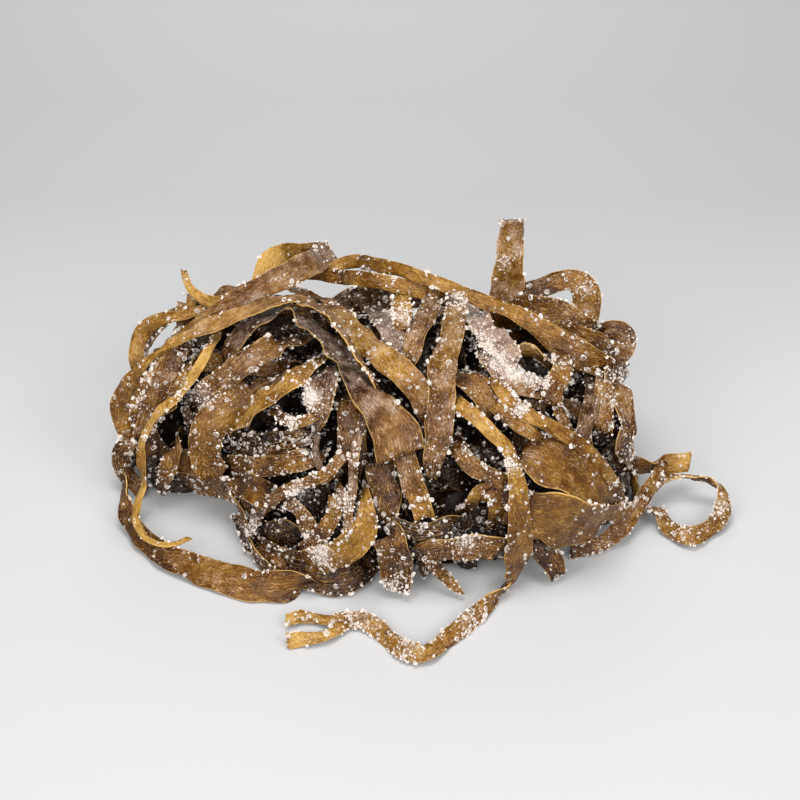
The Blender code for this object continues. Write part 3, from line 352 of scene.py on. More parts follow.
        "wide": 3.8, "turn": 0, "tone": 0.58, "salt": 0.4, "bloom": 0.1, "face": "view",
    },
    "behind_blade": {
        "route": [(586, 549, 1.8), (603, 543, 3), (619, 530, 5), (631, 516, 7), (641, 502, 9),
                  (650, 487, 10), (657, 474, 11), (664, 461, 12)],
        "wide": (3.6, 4.6, 5.2, 5.2, 4.8, 4, 3.2, 3), "turn": (0, 10, 10, 0), "tone": 0.55, "salt": 0.6,
        "bloom": 0.3, "free": "end", "over": "table", "face": "view",
    },
    "right_loop": {
        "route": [(642, 497, 6), (652, 485, 8), (664, 478, 9), (685, 476, 9), (706, 479, 8.6),
                  (720, 488, 7.2), (725, 501, 5.6), (721, 516, 4.2), (708, 529, 3.4), (690, 537, 3),
                  (673, 530, 3), (659, 515, 3.2), (646, 503, 4)],
        "wide": (4, 3.8, 3.4, 3.2, 3.4, 4, 4.6, 5, 5.2, 5.4, 5, 4.4, 4.2),
        "turn": (-20, -30, -40, -45, -40, -30, -25, -35, -45, -45, -35, -30, -30), "tone": 0.65,
        "salt": 0.8, "bloom": 0.3, "over": "table",
    },
    "right_stub": {
        "route": [(600, 446, 22), (615, 459, 17), (630, 466, 13), (648, 467, 11.5), (667, 464, 11),
                  (690, 462, 11)],
        "wide": (6, 6.2, 6.2, 6, 5.8, 6.2), "turn": (35, 45, 50, 50), "tone": (0.5, 0.6, 0.9),
        "salt": 0.4, "bloom": (0.2, 0.1), "free": "end", "over": "table",
    },
    "ruffled_top": {
        "route": [(594, 342, 2), (604, 332, 4), (617, 331, 5), (626, 341, 5), (619, 354, 4),
                  (610, 364, 2)],
        "wide": (5, 6.4, 7, 7, 6.4, 5), "turn": (0, 10, 20, 10, 0), "tone": 0.5, "salt": 0.8,
        "bloom": 0.4, "face": "view",
    },
    "ruffled_column": {
        "route": [(613, 358, 2), (612, 376, 4), (619, 390, 5), (624, 406, 5), (627, 424, 5),
                  (622, 441, 4), (628, 456, 2)],
        "wide": (5.4, 6.4, 7.4, 6.8, 7.6, 6.6, 5), "turn": (25, -10, 30, -10, 25, 0), "tone": 0.45,
        "salt": 0.9, "bloom": 0.4,
    },
    "upright_stub": {
        "route": [(504, 312, 48), (507, 286, 56), (509, 264, 63), (511, 243, 69), (511.5, 220, 76)],
        "wide": (10, 9.6, 8.4, 7.4, 7.2), "turn": (0, 5, 0), "tone": 0.72, "salt": 0.4, "bloom": 0.75,
        "free": "end", "over": "table", "face": "view",
    },
    "right_top_loop": {
        "route": [(522, 294, 3), (536, 289, 7), (552, 284, 10), (568, 279, 11), (581, 283, 11),
                  (587, 296, 9), (586, 312, 6), (582, 328, 3)],
        "wide": (6, 6, 6, 6.2, 7.4, 8.4, 8.6, 8), "turn": (0, -10, 0, 10, 0), "tone": (0.35, 0.5, 0.6),
        "salt": 0.6, "bloom": 0.3, "face": "view",
    },
    "right_top_lower": {
        "route": [(520, 304, 4), (534, 310, 5), (550, 312, 6), (566, 317, 6), (586, 330, 4)],
        "wide": (6.5, 8, 8.4, 8, 7), "turn": (0, 10, 0), "tone": 0.5, "salt": 0.6, "bloom": 0.3,
        "face": "view",
    },
    "right_shoulder": {
        "route": [(548, 322, 2), (564, 330, 4), (582, 336, 5), (600, 345, 4), (612, 358, 2)],
        "wide": (5, 5.6, 6, 6, 5), "turn": (0, 5, 10, 10), "tone": 0.55, "salt": 0.6, "bloom": 0.3,
        "face": "view",
    },
    "white_crusted": {
        "route": [(474, 316, 3), (484, 328, 4), (495, 341, 5), (506, 354, 5), (517, 368, 4)],
        "wide": (7, 8, 8.6, 8, 6), "turn": (0, 10, 0), "tone": 0.5, "salt": 1, "bloom": 0.9,
    },
    "white_crusted_low": {
        "route": [(484, 352, 2), (496, 368, 4), (510, 381, 5), (527, 388, 5), (545, 388, 4),
                  (560, 380, 2)],
        "wide": (4.6, 5.6, 6.6, 7, 6.4, 5.6), "turn": (0, 5, 0), "tone": 0.5, "salt": 0.9, "bloom": 0.6,
    },
    "right_upright": {
        "route": [(563, 350, 3), (561, 369, 6), (555, 389, 6), (546, 406, 4)],
        "wide": (5.6, 6, 6, 5.4), "turn": (10, -10), "tone": (0.55, 0.5, 0.3), "salt": 0.6,
        "bloom": (0.4, 0.2),
    },
    "under_upright": {
        "route": [(557, 402, 2), (564, 417, 4), (570, 435, 3)],
        "wide": 3.6, "turn": 0, "tone": 0.5, "salt": 0.9, "bloom": 0.3,
    },
    "behind_column": {
        "route": [(593, 382, 2), (592, 400, 3.6), (587, 419, 4), (582, 438, 3.4), (588, 454, 2)],
        "wide": 4.4, "turn": (0, 10), "tone": 0.3, "salt": 0.4, "bloom": 0.4, "face": "view",
    },
    "column_inner": {
        "route": [(605, 370, 3), (603, 390, 4.6), (605, 411, 5), (603, 432, 4)],
        "wide": (4.8, 5, 5), "turn": 0, "tone": 0.5, "salt": 0.9, "bloom": 0.3, "face": "view",
    },
    "right_dark_arch": {
        "route": [(528, 414, 2), (535, 399, 4), (549, 396, 4), (561, 407, 3), (568, 426, 0)],
        "wide": 4.4, "turn": (20, 0, -20), "tone": 0.35, "salt": 0.4, "bloom": 0.2,
    },
    "centre_right": {
        "route": [(462, 378, 2), (477, 385, 3), (488, 398, 4), (491, 420, 1)],
        "wide": (7.5, 7.8, 7.4), "turn": (0, 10, 0), "tone": 0.6, "salt": 0.6, "bloom": 0.3,
    },
    "short_salty": {
        "route": [(401, 296, 6), (402, 312, 5), (404, 331, 3)],
        "wide": 5.6, "turn": 0, "tone": 0.7, "salt": 0.9, "bloom": 0.2, "free": "start",
    },
    "grey_behind": {
        "route": [(383, 320, 2), (392, 335, 3), (402, 353, 2)],
        "wide": 6.5, "turn": 0, "tone": 0.35, "salt": 0.6, "bloom": 0.8,
    },
    "yellow_narrow": {
        "route": [(213, 342, 4), (207, 352, 6), (202, 362, 7), (191, 381, 8), (175, 398, 8),
                  (156, 417, 9), (143, 435, 9), (141, 455, 8.4), (143, 470, 7.6), (144, 485, 6.6),
                  (139, 501, 6), (135, 515, 6), (138, 527, 5.6), (145, 537, 5.2), (155, 544, 5),
                  (166, 546, 4.6), (177, 544, 4.4), (189, 538, 4.6)],
        "wide": (3, 3, 2.8, 2.6, 2.4, 2.1, 1.9, 1.8), "turn": (0, 20, 0, 20, 0, 20), "tone": 0.95,
        "salt": 0.1, "bloom": 0, "free": "end",
    },
    "front_long": {
        "route": [(127, 478, 12), (124, 495, 8), (126, 511, 5.4), (134, 527, 4), (148, 543, 3.4),
                  (166, 556, 3.2), (190, 566, 3.2), (215, 575, 3.4), (240, 583, 3.4), (265, 588, 3.4),
                  (288, 589, 3.2), (308, 585, 3)],
        "wide": (3.4, 4.4, 5.4, 5.8, 6, 6.8, 7.6, 8.6, 9.2, 9.2, 8.8, 8),
        "turn": (50, 45, 40, 35, 35, 35, 35, 35, 35, 35), "tone": 0.5, "salt": 0.12, "bloom": 0.25,
        "over": "table",
    },
    "left_corner": {
        "route": [(131, 438, 2), (123, 449, 4), (120, 460, 4.4), (124, 472, 4), (134, 483, 2)],
        "wide": (4.6, 5.4, 5.8, 5.4, 4.4), "turn": 0, "tone": 0.5, "salt": 0.7, "bloom": 0.3,
        "face": "view",
    },
    "left_broad": {
        "route": [(183, 346, 3), (170, 366, 4), (158, 388, 4.4), (150, 411, 4.4), (144, 434, 4),
                  (148, 460, 2)],
        "wide": (5, 6, 6.4, 6, 5.6, 5), "turn": 0, "tone": 0.45, "salt": 0.6, "bloom": 0.4,
        "face": "view",
    },
    "left_edge_strap": {
        "route": [(176, 346, 4), (163, 359, 5), (151, 373, 5.4), (142, 388, 5.4), (135, 404, 5),
                  (135, 420, 3)],
        "wide": (2, 2.2, 2.4, 2.6, 2.6, 2.4), "turn": (0, 10), "tone": 0.65, "salt": 0.9, "bloom": 0.4,
        "face": "view",
    },
    "left_low": {
        "route": [(176, 448, 2), (168, 470, 4), (160, 492, 2)],
        "wide": (4.8, 4.6, 3.4), "turn": 0, "tone": 0.6, "salt": 0.5, "bloom": 0.3, "free": "end",
    },
    "left_narrow": {
        "route": [(191, 361, 3), (183, 378, 5), (173, 395, 5), (164, 411, 3)],
        "wide": 3.2, "turn": 20, "tone": 0.6, "salt": 0.8, "bloom": 0.2,
    },
    "big_c": {
        "route": [(282, 374, 2), (256, 391, 4), (231, 404, 5), (213, 420, 6), (205, 440, 6),
                  (207, 460, 5), (217, 477, 5), (232, 492, 4), (247, 509, 3)],
        "wide": (8, 10, 10.5, 10, 9.5, 9, 8.6, 8, 7), "turn": (10, 0, 0, -10, 0), "tone": 0.65,
        "salt": 0.85, "bloom": 0.3,
    },
    "over_c": {
        "route": [(199, 401, 3), (212, 388, 5), (226, 377, 6), (245, 362, 7), (266, 350, 7),
                  (289, 342, 6), (307, 337, 3)],
        "wide": 7, "turn": (-10, 0, 10), "tone": 0.5, "salt": 0.7, "bloom": 0.3,
    },
    "cross_left": {
        "route": [(321, 359, 6), (305, 370, 7), (290, 382, 8), (272, 395, 8), (256, 407, 8),
                  (241, 419, 7), (226, 430, 4)],
        "wide": (5.6, 5.8, 5.8, 5.6), "turn": (0, -10, 0), "tone": 0.68, "salt": 0.5, "bloom": 0.2,
    },
    "salty_patch": {
        "route": [(322, 368, 4), (323, 386, 5), (320, 403, 5), (316, 419, 4)],
        "wide": (8, 9.6, 9, 7), "turn": 0, "tone": 0.5, "salt": 1, "bloom": 0.6,
    },
    "salty_rim": {
        "route": [(275, 411, 4), (285, 420, 6), (300, 422, 6), (317, 416, 5)],
        "wide": 3, "turn": 0, "tone": 0.5, "salt": 1, "bloom": 0.3,
    },
    "low_left_cross": {
        "route": [(231, 464, 2), (248, 466, 4), (270, 466, 4), (291, 463, 4), (315, 456, 2)],
        "wide": (5, 5.6, 5.6), "turn": (0, 10, -10), "tone": 0.5, "salt": 0.7, "bloom": 0.3,
    },
    "low_left_facet": {
        "route": [(231, 478, 3), (249, 486, 4.4), (266, 496, 4.4), (281, 501, 3)],
        "wide": (6, 8, 7.4, 5), "turn": 0, "tone": 0.45, "salt": 0.3, "bloom": 0, "face": "view",
    },
    "cave_ledge_a": {
        "route": [(228, 437, 0), (252, 440, 1), (278, 437, 1), (303, 431, 0)],
        "wide": 3.4, "turn": 10, "tone": 0.3, "salt": 0.9, "bloom": 0.2,
    },
    "cave_ledge_b": {
        "route": [(229, 449, 0), (250, 452, 1), (270, 452, 1), (290, 446, 0)],
        "wide": 3, "turn": 0, "tone": 0.35, "salt": 0.9, "bloom": 0.1,
    },
    "cave_thin": {
        "route": [(252, 463, 1), (270, 457, 2), (288, 449, 2), (311, 440, 1)],
        "wide": 2.2, "turn": 10, "tone": 0.25, "salt": 0.3, "bloom": 0.3,
    },
    "thin_curl": {
        "route": [(317, 434, 2), (315, 447, 4), (317, 461, 5), (324, 474, 5)],
        "wide": 2, "turn": 0, "tone": 0.3, "salt": 0.1, "bloom": 0.6, "face": "view",
    },
    "front_left_edge": {
        "route": [(221, 479, 3), (232, 494, 4), (241, 511, 4), (246, 530, 3), (252, 549, 2),
                  (270, 569, 1)],
        "wide": 4.4, "turn": (20, 10, 0), "tone": 0.55, "salt": 0.7, "bloom": 0.3,
    },
    "salty_arch": {
        "route": [(252, 533, 2), (257, 516, 4), (267, 505, 5), (281, 494, 6.5), (297, 486, 7),
                  (314, 481, 7), (329, 474, 6.5), (337, 461, 6), (346, 452, 4)],
        "wide": (3.2, 3.4, 3.6, 3.4), "turn": (10, 0, 10, 0), "tone": 0.55, "salt": 1, "bloom": 0.3,
    },
    "bowl_side": {
        "route": [(337, 492, 5), (335, 509, 6), (328, 526, 6), (318, 538, 5.4), (306, 548, 4)],
        "wide": (4, 4.4, 4.6, 4.4), "turn": (10, 0), "tone": 0.6, "salt": 0.9, "bloom": 0.2,
    },
    "bowl_bottom": {
        "route": [(272, 548, 2), (289, 557, 4), (311, 560, 5), (334, 556, 6), (352, 545, 7),
                  (364, 529, 7), (366, 512, 6), (365, 496, 4)],
        "wide": (7, 8, 8.2, 8.2, 8.4, 7.6, 5.2, 3.8), "turn": (20, 10, 0, -5, -5),
        "tone": (0.5, 0.6, 0.75, 0.9, 0.8), "salt": (0.9, 0.6), "bloom": 0.1,
    },
    "bowl_foot": {
        "route": [(256, 540, 2), (268, 556, 2.5), (287, 568, 2.5), (310, 572, 2)],
        "wide": (7, 8, 8, 7), "turn": 10, "tone": 0.5, "salt": 0.9, "bloom": 0.3, "face": "view",
    },
    "bowl_inner": {
        "route": [(254, 536, 1), (270, 535, 2), (287, 535, 2), (303, 540, 1)],
        "wide": 9, "turn": (0, 10), "tone": 0.2, "salt": 0.5, "bloom": 0.1,
    },
    "bowl_mass": {
        "route": [(282, 499, 3), (295, 508, 4), (306, 521, 4.4), (312, 539, 3)],
        "wide": (5, 5.4, 5), "turn": (0, 10, 0), "tone": (0.5, 0.6), "salt": 1, "bloom": 0.2,
    },
    "front_dark": {
        "route": [(291, 571, 4.6), (311, 576, 4.8), (333, 579, 4.8), (353, 577, 4.8), (367, 565, 4.6)],
        "wide": (7, 8.6, 9.4, 9, 6.5), "turn": (0, 5, 0), "tone": 0.3, "salt": 0.4, "bloom": 0.2,
        "over": "table", "face": "view",
    },
    "thin_long": {
        "route": [(360, 380, 3), (367, 398, 9), (366, 414, 8), (360, 432, 7.5), (356, 450, 7.5),
                  (353, 472, 7.5), (350, 500, 8), (347, 530, 7), (342, 552, 4)],
        "wide": (2.2, 2.4, 2.6, 2.6), "turn": 20, "tone": 0.45, "salt": 0.35, "bloom": 0.6,
        "face": "view",
    },
    "behind_flap": {
        "route": [(380, 458, 1), (384, 490, 3), (386, 520, 2)],
        "wide": 8, "turn": (0, 10), "tone": 0.4, "salt": 0.6, "bloom": 0.3,
    },
    "left_of_flap": {
        "route": [(350, 398, 2), (353, 430, 3), (350, 462, 2)],
        "wide": 8, "turn": (0, -10), "tone": 0.5, "salt": 0.6, "bloom": 0.3,
    },
    "front_lobe": {
        "route": [(390, 533, 4), (393, 552, 5), (397, 574, 3), (398, 591, 1.5)],
        "wide": (8.6, 9.4, 9, 6), "turn": (0, 10), "tone": 0.5, "salt": 0.7, "bloom": 0.2, "free": "end",
    },
    "leaf_piece": {
        "route": [(423, 549, 2), (432, 562, 2.5), (445, 577, 2), (462, 594, 1)],
        "wide": (2.4, 3.6, 3.6, 1.4), "turn": (0, -10), "tone": 0.6, "salt": 0.6, "bloom": 0.2,
        "free": "end",
    },
    "front_band": {
        "route": [(426, 553, 3), (450, 550, 4), (475, 546, 4), (503, 548, 3)],
        "wide": 7.6, "turn": (0, 10), "tone": 0.55, "salt": 0.9, "bloom": 0.3,
    },
    "dark_band": {
        "route": [(386, 523, 3), (408, 530, 4), (430, 532, 4), (449, 524, 3)],
        "wide": 5, "turn": 0, "tone": 0.25, "salt": 0.6, "bloom": 0.2,
    },
    "front_right_low": {
        "route": [(537, 541, 2), (549, 556, 2.5), (558, 577, 1)],
        "wide": (7.4, 7, 5), "turn": 0, "tone": 0.35, "salt": 0.5, "bloom": 0.2, "free": "end",
    },
}
print(len(STRAPS), "straps laid by hand")

# %% [markdown]
# ## From stops to a smooth line
#
# A leathery strap bends in long curves and never kinks, so a spline runs through the stops and is then
# smoothed over about a strap's width. Width, turn and looks travel with the places as further columns, so
# one spline smooths them all.

# %% Rows along a strap: x, y, z, width, turn, tone, salt, bloom
WIDTH, TURN, TONE, SALT, BLOOM = 3, 4, 5, 6, 7
TUCK_LIFT, TUCK_REACH = -10.0, 16.0  # how deep a tucked end goes, and how far past the last stop
TABLE_GAP = 0.06  # mm that straps and salt keep clear of the table


def spread(values, count):
    """A few values, or a single one, read evenly along count places."""
    values = np.atleast_1d(values)
    return np.interp(np.linspace(0, 1, count), np.linspace(0, 1, len(values)), values)


def tuck(route):
    """The place where a route, run on from its last stop, goes down into the heap."""
    (x0, y0, _), (x1, y1, _) = route[-2:]
    reach = TUCK_REACH / math.hypot(x1 - x0, y1 - y0)
    return place_on_heap(x1 + (x1 - x0) * reach, y1 + (y1 - y0) * reach, TUCK_LIFT)


def strap_rows(strap):
    """The rows of a strap of the table, with a tucked end where it isn't free."""
    route = list(strap["route"])
    free = strap.get("free", "")
    place = place_over_table if strap.get("over") == "table" else place_on_heap
    columns = [spread(strap[name], len(route)) for name in ("wide", "turn", "tone", "salt", "bloom")]
    columns[1] = np.radians(columns[1])
    rows = np.column_stack([[place(*stop) for stop in route], *columns])
    if "end" not in free:
        rows = np.vstack([rows, [*tuck(route), *rows[-1, WIDTH:]]])
    if "start" not in free:
        rows = np.vstack([[*tuck(route[::-1]), *rows[0, WIDTH:]], rows])
    return rows


tail_rows = strap_rows(STRAPS["long_tail"])
print("the long tail has", len(tail_rows), "stops")

# %% A smooth line with even steps
SMOOTHINGS = 6


def smooth_rows(rows, steps=10):
    """A cubic through all rows: b + t/2 (c-a) + t²/2 (2a-5b+4c-d) + t³/2 (3(b-c)+d-a) from b to c."""
    rows = np.vstack([2 * rows[0] - rows[1], rows, 2 * rows[-1] - rows[-2]])
    a, b, c, d = (rows[i : len(rows) - 3 + i, None] for i in range(4))
    t = np.linspace(0, 1, steps, endpoint=False)[None, :, None]
    curve = b + 0.5 * t * (c - a + t * (2 * a - 5 * b + 4 * c - d + t * (3 * (b - c) + d - a)))
    return np.vstack([curve.reshape(-1, rows.shape[1]), rows[-2]])


def evened(rows):
    """The rows 1 mm apart, with kinks shorter than a strap's width drawn smooth."""
    lengths = np.linalg.norm(np.diff(rows[:, :3], axis=0), axis=1)
    total = np.concatenate([[0.0], np.cumsum(lengths)])
    wanted = np.linspace(0, total[-1], math.ceil(total[-1]))
    rows = np.stack([np.interp(wanted, total, column) for column in rows.T], axis=1)
    for _ in range(SMOOTHINGS):
        rows[1:-1] = (rows[:-2] + 2 * rows[1:-1] + rows[2:]) / 4
    return rows


longest = evened(smooth_rows(tail_rows))
print("the long tail is", len(longest), "mm long")

# %% The face of a strap
CARRIED = 0.3  # how much of one row's face the next one keeps


def frames_along(rows, face):
    """Unit vectors along a strap, across its width and out of its face, turned about its line."""
    points, turns = rows[:, :3], rows[:, TURN]
    along = np.gradient(points, axis=0)
    along /= np.linalg.norm(along, axis=1, keepdims=True)
    wanted = np.repeat(-AHEAD[None], len(rows), axis=0) if face == "view" else outward(points)
    normals = np.empty_like(points)
    last = wanted[0]
    for i, (want, line) in enumerate(zip(wanted, along)):
        normal = want - line * want.dot(line) + CARRIED * (last - line * last.dot(line))
        last = normals[i] = normal / np.linalg.norm(normal)
    across = np.cross(along, normals)
    out = normals * np.cos(turns)[:, None] + across * np.sin(turns)[:, None]
    return along, np.cross(along, out), out


tail_out = frames_along(longest, "out")[2]
print("the long tail's face points up by", tail_out[:, 2].mean().round(2))

# %% [markdown]
# ## Random, but the same every time
#
# Dried seaweed is uneven at every size: it cups, its rims ruffle and its skin wrinkles. A sum of a few
# sines with random directions and phases gives such relief smoothly for whole arrays at once, and a seed
# keeps it the same on each run.

# %% Smooth random relief
def waves(places, size, seed, count=9):
    """Smooth noise, about -1 to 1: the sum of sin(k.x + phase) / sqrt(count / 2), |k| near tau / size."""
    draw = np.random.default_rng(seed)
    places = np.asarray(places, float)
    if places.ndim == 1:
        places = places[:, None]
    directions = draw.normal(size=(count, places.shape[-1]))
    directions /= np.linalg.norm(directions, axis=1, keepdims=True)
    steepness = math.tau / size * draw.uniform(0.6, 1.6, (count, 1))
    phases = draw.uniform(0, math.tau, count)
    return np.sin(places @ (directions * steepness).T + phases).sum(axis=-1) / math.sqrt(count / 2)


def creases(places, size, seed):
    """Sharp folds between round swells: 1 - 2 |waves|."""
    return 1 - 2 * np.abs(waves(places, size, seed))


print("waves span", np.ptp(waves(np.arange(200.0), 9.0, 1)).round(2))

# %% [markdown]
# ## The surface of a strap
#
# A strap could be a curve with a bevel, but its section changes all along it: flat here, cupped there,
# with one rim ruffled where salt has drawn the water out. So it is a profile carried along a path,
# computed as one grid: u runs across the strap and w through it, on a ring of points.

# %% The ring round a strap
RING = 22
THICK = 1.15
ROUND_SIDE, ROUND_FACE = 0.8, 0.6  # powers that flatten the ring from an ellipse towards a band
ANGLES = math.tau * (np.arange(RING) + 0.5) / RING
RING_U = np.sign(np.cos(ANGLES)) * np.abs(np.cos(ANGLES)) ** ROUND_SIDE
RING_W = np.sign(np.sin(ANGLES)) * np.abs(np.sin(ANGLES)) ** ROUND_FACE
print("the ring is", np.ptp(RING_U).round(2), "half widths wide and", np.ptp(RING_W).round(2), "thick")

# %% Strap as a grid
RIM_SWELLS = (15.0, 5.0, 13.0)  # mm from swell to swell of a rim: slow, quick, sideways
CUP_SWELL, DIMPLE, GRAIN = 28.0, 2.6, 1.3  # mm from swell to swell of the faces
CREASE, CREASE_DRAWN = 1.5, 0.16  # mm from fold to fold, and how far they are drawn out along the strap
FRAYED, TEAR = 3.0, 3.0  # mm of an end that are torn, and mm from tear to tear


def rested(rows, across, out):
    """The rows lifted where a strap would pass through the table."""
    half = np.abs(across[:, 2]) * rows[:, WIDTH] / 2 + np.abs(out[:, 2]) * CAD_THICK / 2
    rows[:, 2] = np.maximum(rows[:, 2], half + TABLE_GAP)
    return rows


def strap_points(rows, face, seed):
    """Rings of points along a strap, with its UV.

    P(s, u, w) = centre(s) + across(s) * half width * u * (1 + crinkle) + along(s) * torn end
               + out(s) * (half thickness * w + cup * half width * (u² - 0.4) + ruffle * |u|³ + wrinkles)
    """
    along, across, out = frames_along(rows, face)
    rows = rested(rows, across, out)
    s = np.arange(len(rows), dtype=float)
    half = rows[:, WIDTH, None] / 2
    salt = rows[:, SALT, None]
    u, w = RING_U[None], RING_W[None]
    side = u > 0
    slow, quick, sideways = (
        np.where(side, waves(s, size, seed + i)[:, None], waves(s, size, seed + i + 50)[:, None])
        for i, size in enumerate(RIM_SWELLS)
    )
    place = np.stack(np.broadcast_arrays(s[:, None], u * half), axis=-1)
    cup = 0.10 + 0.14 * waves(s, CUP_SWELL, seed + 3)[:, None]
    ruffle = (0.30 + 0.35 * salt) * slow + (0.02 + 0.06 * salt) * quick
    wrinkles = 0.11 * creases(place * [CREASE_DRAWN, 1.0], CREASE, seed + 4)
    wrinkles += 0.10 * waves(place, DIMPLE, seed + 5)
    wrinkles += 0.07 * salt * waves(place, GRAIN, seed + 6)
    crinkle = 0.04 * sideways + 0.012 * salt * quick
    thick = THICK / 2 * (1 - 0.3 * u**2) * w
    raised = thick + cup * half * (u**2 - 0.4) + ruffle * np.abs(u) ** 3 + wrinkles * (1 - 0.5 * u**2)
    from_end = np.minimum(s, s[::-1])[:, None]
    slant = 0.8 * math.sin(seed) * u + 0.12 * waves(u[0] * half.mean(), TEAR, seed + 7)
    torn = np.clip(1 - from_end / FRAYED, 0, 1) * slant
    points = rows[:, None, :3] + across[:, None] * (half * u * (1 + crinkle))[..., None]
    points = points + out[:, None] * raised[..., None] + along[:, None] * torn[..., None]
    points[..., 2] = np.maximum(points[..., 2], TABLE_GAP)
    return points, place


print("the long tail's grid is", strap_points(longest.copy(), "out", 0)[0].shape)

# %% Faces of a grid
def ring_faces(count, ring):
    """Quads between neighbouring rings, and both end rings closed across from face to face."""
    here = np.arange((count - 1) * ring).reshape(count - 1, ring)
    beside = np.roll(here, -1, axis=1)
    sides = np.stack([here, here + ring, beside + ring, beside], axis=-1).reshape(-1, 4)
    j = np.arange(ring // 2 - 1)
    cap = np.stack([j, j + 1, ring - 2 - j, ring - 1 - j], axis=1)
    return np.vstack([sides, cap, cap[:, ::-1] + (count - 1) * ring])


print(len(ring_faces(len(longest), RING)), "faces on the long tail")

# %% Meshes from arrays
def mesh_piece(name, points, faces, smooth=True):
    """An object at the origin from arrays of points in mm and faces with equal numbers of corners."""
    mesh = bpy.data.meshes.new(name)
    corners = faces.shape[1]
    mesh.vertices.add(len(points))
    mesh.vertices.foreach_set("co", (points * MM).astype(np.float32).ravel())
    mesh.loops.add(faces.size)
    mesh.loops.foreach_set("vertex_index", faces.astype(np.int32).ravel())
    mesh.polygons.add(len(faces))
    mesh.polygons.foreach_set("loop_start", np.arange(0, faces.size, corners, dtype=np.int32))
    mesh.update(calc_edges=True)
    mesh.validate()
    if smooth:
        mesh.shade_smooth()
    else:
        mesh.shade_flat()
    piece = bpy.data.objects.new(name, mesh)
    bpy.context.scene.collection.objects.link(piece)
    return piece


def add_values(piece, name, values):
    """A number for each point of a piece, for its material to read."""
    layer = piece.data.attributes.new(name, "FLOAT", "POINT")
    layer.data.foreach_set("value", np.asarray(values, np.float32).ravel())


def corners_of(piece):
    """Which point each corner of a piece's faces uses."""
    corner = np.empty(len(piece.data.loops), np.int32)
    piece.data.loops.foreach_get("vertex_index", corner)
    return corner


print("a mesh takes its points and faces as whole arrays")

# %% Straps joined into a piece
STORED = ("tone", "salt", "bloom", "rim")
SHIFT, SHIFTED = 37.0, 1000.0  # mm by which the pattern differs from seed to seed, and at most


def strap_piece(name, straps):
    """Many straps, each (rows, face, seed), as one piece with a UV in metres and its looks as values."""
    points, places, faces, looks, first = [], [], [], [], 0
    for rows, face, seed in straps:
        grid, place = strap_points(rows, face, seed)
        points.append(grid.reshape(-1, 3))
        places.append((place + [SHIFT * seed % SHIFTED, 0.0]).reshape(-1, 2))
        faces.append(ring_faces(len(rows), RING) + first)
        rim = np.broadcast_to(np.abs(RING_U), grid.shape[:2])
        looks.append(np.stack([*(np.repeat(rows[:, i], RING) for i in (TONE, SALT, BLOOM)), rim.ravel()]))
        first += grid.shape[0] * RING
    piece = mesh_piece(name, np.vstack(points), np.vstack(faces))
    layer = piece.data.uv_layers.new(name="strap")
    layer.data.foreach_set("uv", (np.vstack(places) * MM)[corners_of(piece)].astype(np.float32).ravel())
    for value_name, values in zip(STORED, np.hstack(looks)):
        add_values(piece, value_name, values)
    print(name, len(straps), "straps", 2 * len(piece.data.polygons), "triangles")
    return piece


print("each point of a strap keeps its", ", ".join(STORED))

# %% [markdown]
# ## The straps of the back, and those underneath
#
# Nobody lays the far side of a heap by hand. Some straps hang down from the top to the table, the others
# run round. Under them and under the front lie many more, at random, seen only in the gaps: they are what
# makes the hollows deep. So the deep places of the front come first, as a short table.

# %% Hollows: places in the frame, half widths and heights there, and depths in mm
DEEPEST = 15.0  # mm
HOLLOWS = {
    "left_cave": {"at": (275, 440), "wide": 62, "high": 24, "deep": 12},
    "cave_mouth": {"at": (318, 448), "wide": 30, "high": 20, "deep": 12},
    "beside_thin_strap": {"at": (345, 470), "wide": 9, "high": 20, "deep": 12},
    "under_ring": {"at": (292, 405), "wide": 14, "high": 14, "deep": 10},
    "centre_slot": {"at": (468, 355), "wide": 13, "high": 18, "deep": 14},
    "behind_crust": {"at": (530, 352), "wide": 32, "high": 18, "deep": 14},
    "under_crust": {"at": (500, 408), "wide": 34, "high": 18, "deep": 14},
    "right_cave": {"at": (580, 392), "wide": 14, "high": 16, "deep": 14},
    "front_cave": {"at": (470, 506), "wide": 34, "high": 24, "deep": 12},
    "front_slot": {"at": (428, 535), "wide": 26, "high": 10, "deep": 10},
    "left_slot": {"at": (186, 410), "wide": 8, "high": 16, "deep": 8},
    "left_slit": {"at": (144, 380), "wide": 14, "high": 34, "deep": 14},
    "left_eye": {"at": (160, 338), "wide": 20, "high": 18, "deep": 14},
}


def hollow_depth(points):
    """How much deeper the straps underneath lie at each point: a bell round each hollow, in the frame."""
    seen = place_in_frame(points)
    depth = np.zeros(len(points))
    for hollow in HOLLOWS.values():
        gap = (seen - hollow["at"]) / (hollow["wide"], hollow["high"])
        depth += hollow["deep"] * np.exp(-(gap**2).sum(axis=1))
    return np.minimum(depth, DEEPEST)


print(len(HOLLOWS), "hollows")

# %% Straps laid by rule
BACK_STRAPS, BACK_SEED, BACK_STOPS = 22, 11, 9
LOOKS_SEED = 5
BACK_DRAPES = 0.55  # the share of them that hang down from the top
BACK_FROM, BACK_TO = math.radians(-22.0), math.radians(200.0)


def looks_at_random(draw, shade=0.0):
    """Tone, salt and bloom of a strap that wasn't laid by hand; ones in shade get painted shade, a darker
    tone.
    """
    tone, salt, bloom = draw.uniform(0.25, 0.85), draw.uniform(0.3, 0.9), draw.uniform(0.1, 0.6)
    return [tone - shade, salt * (1 - shade), bloom - shade]


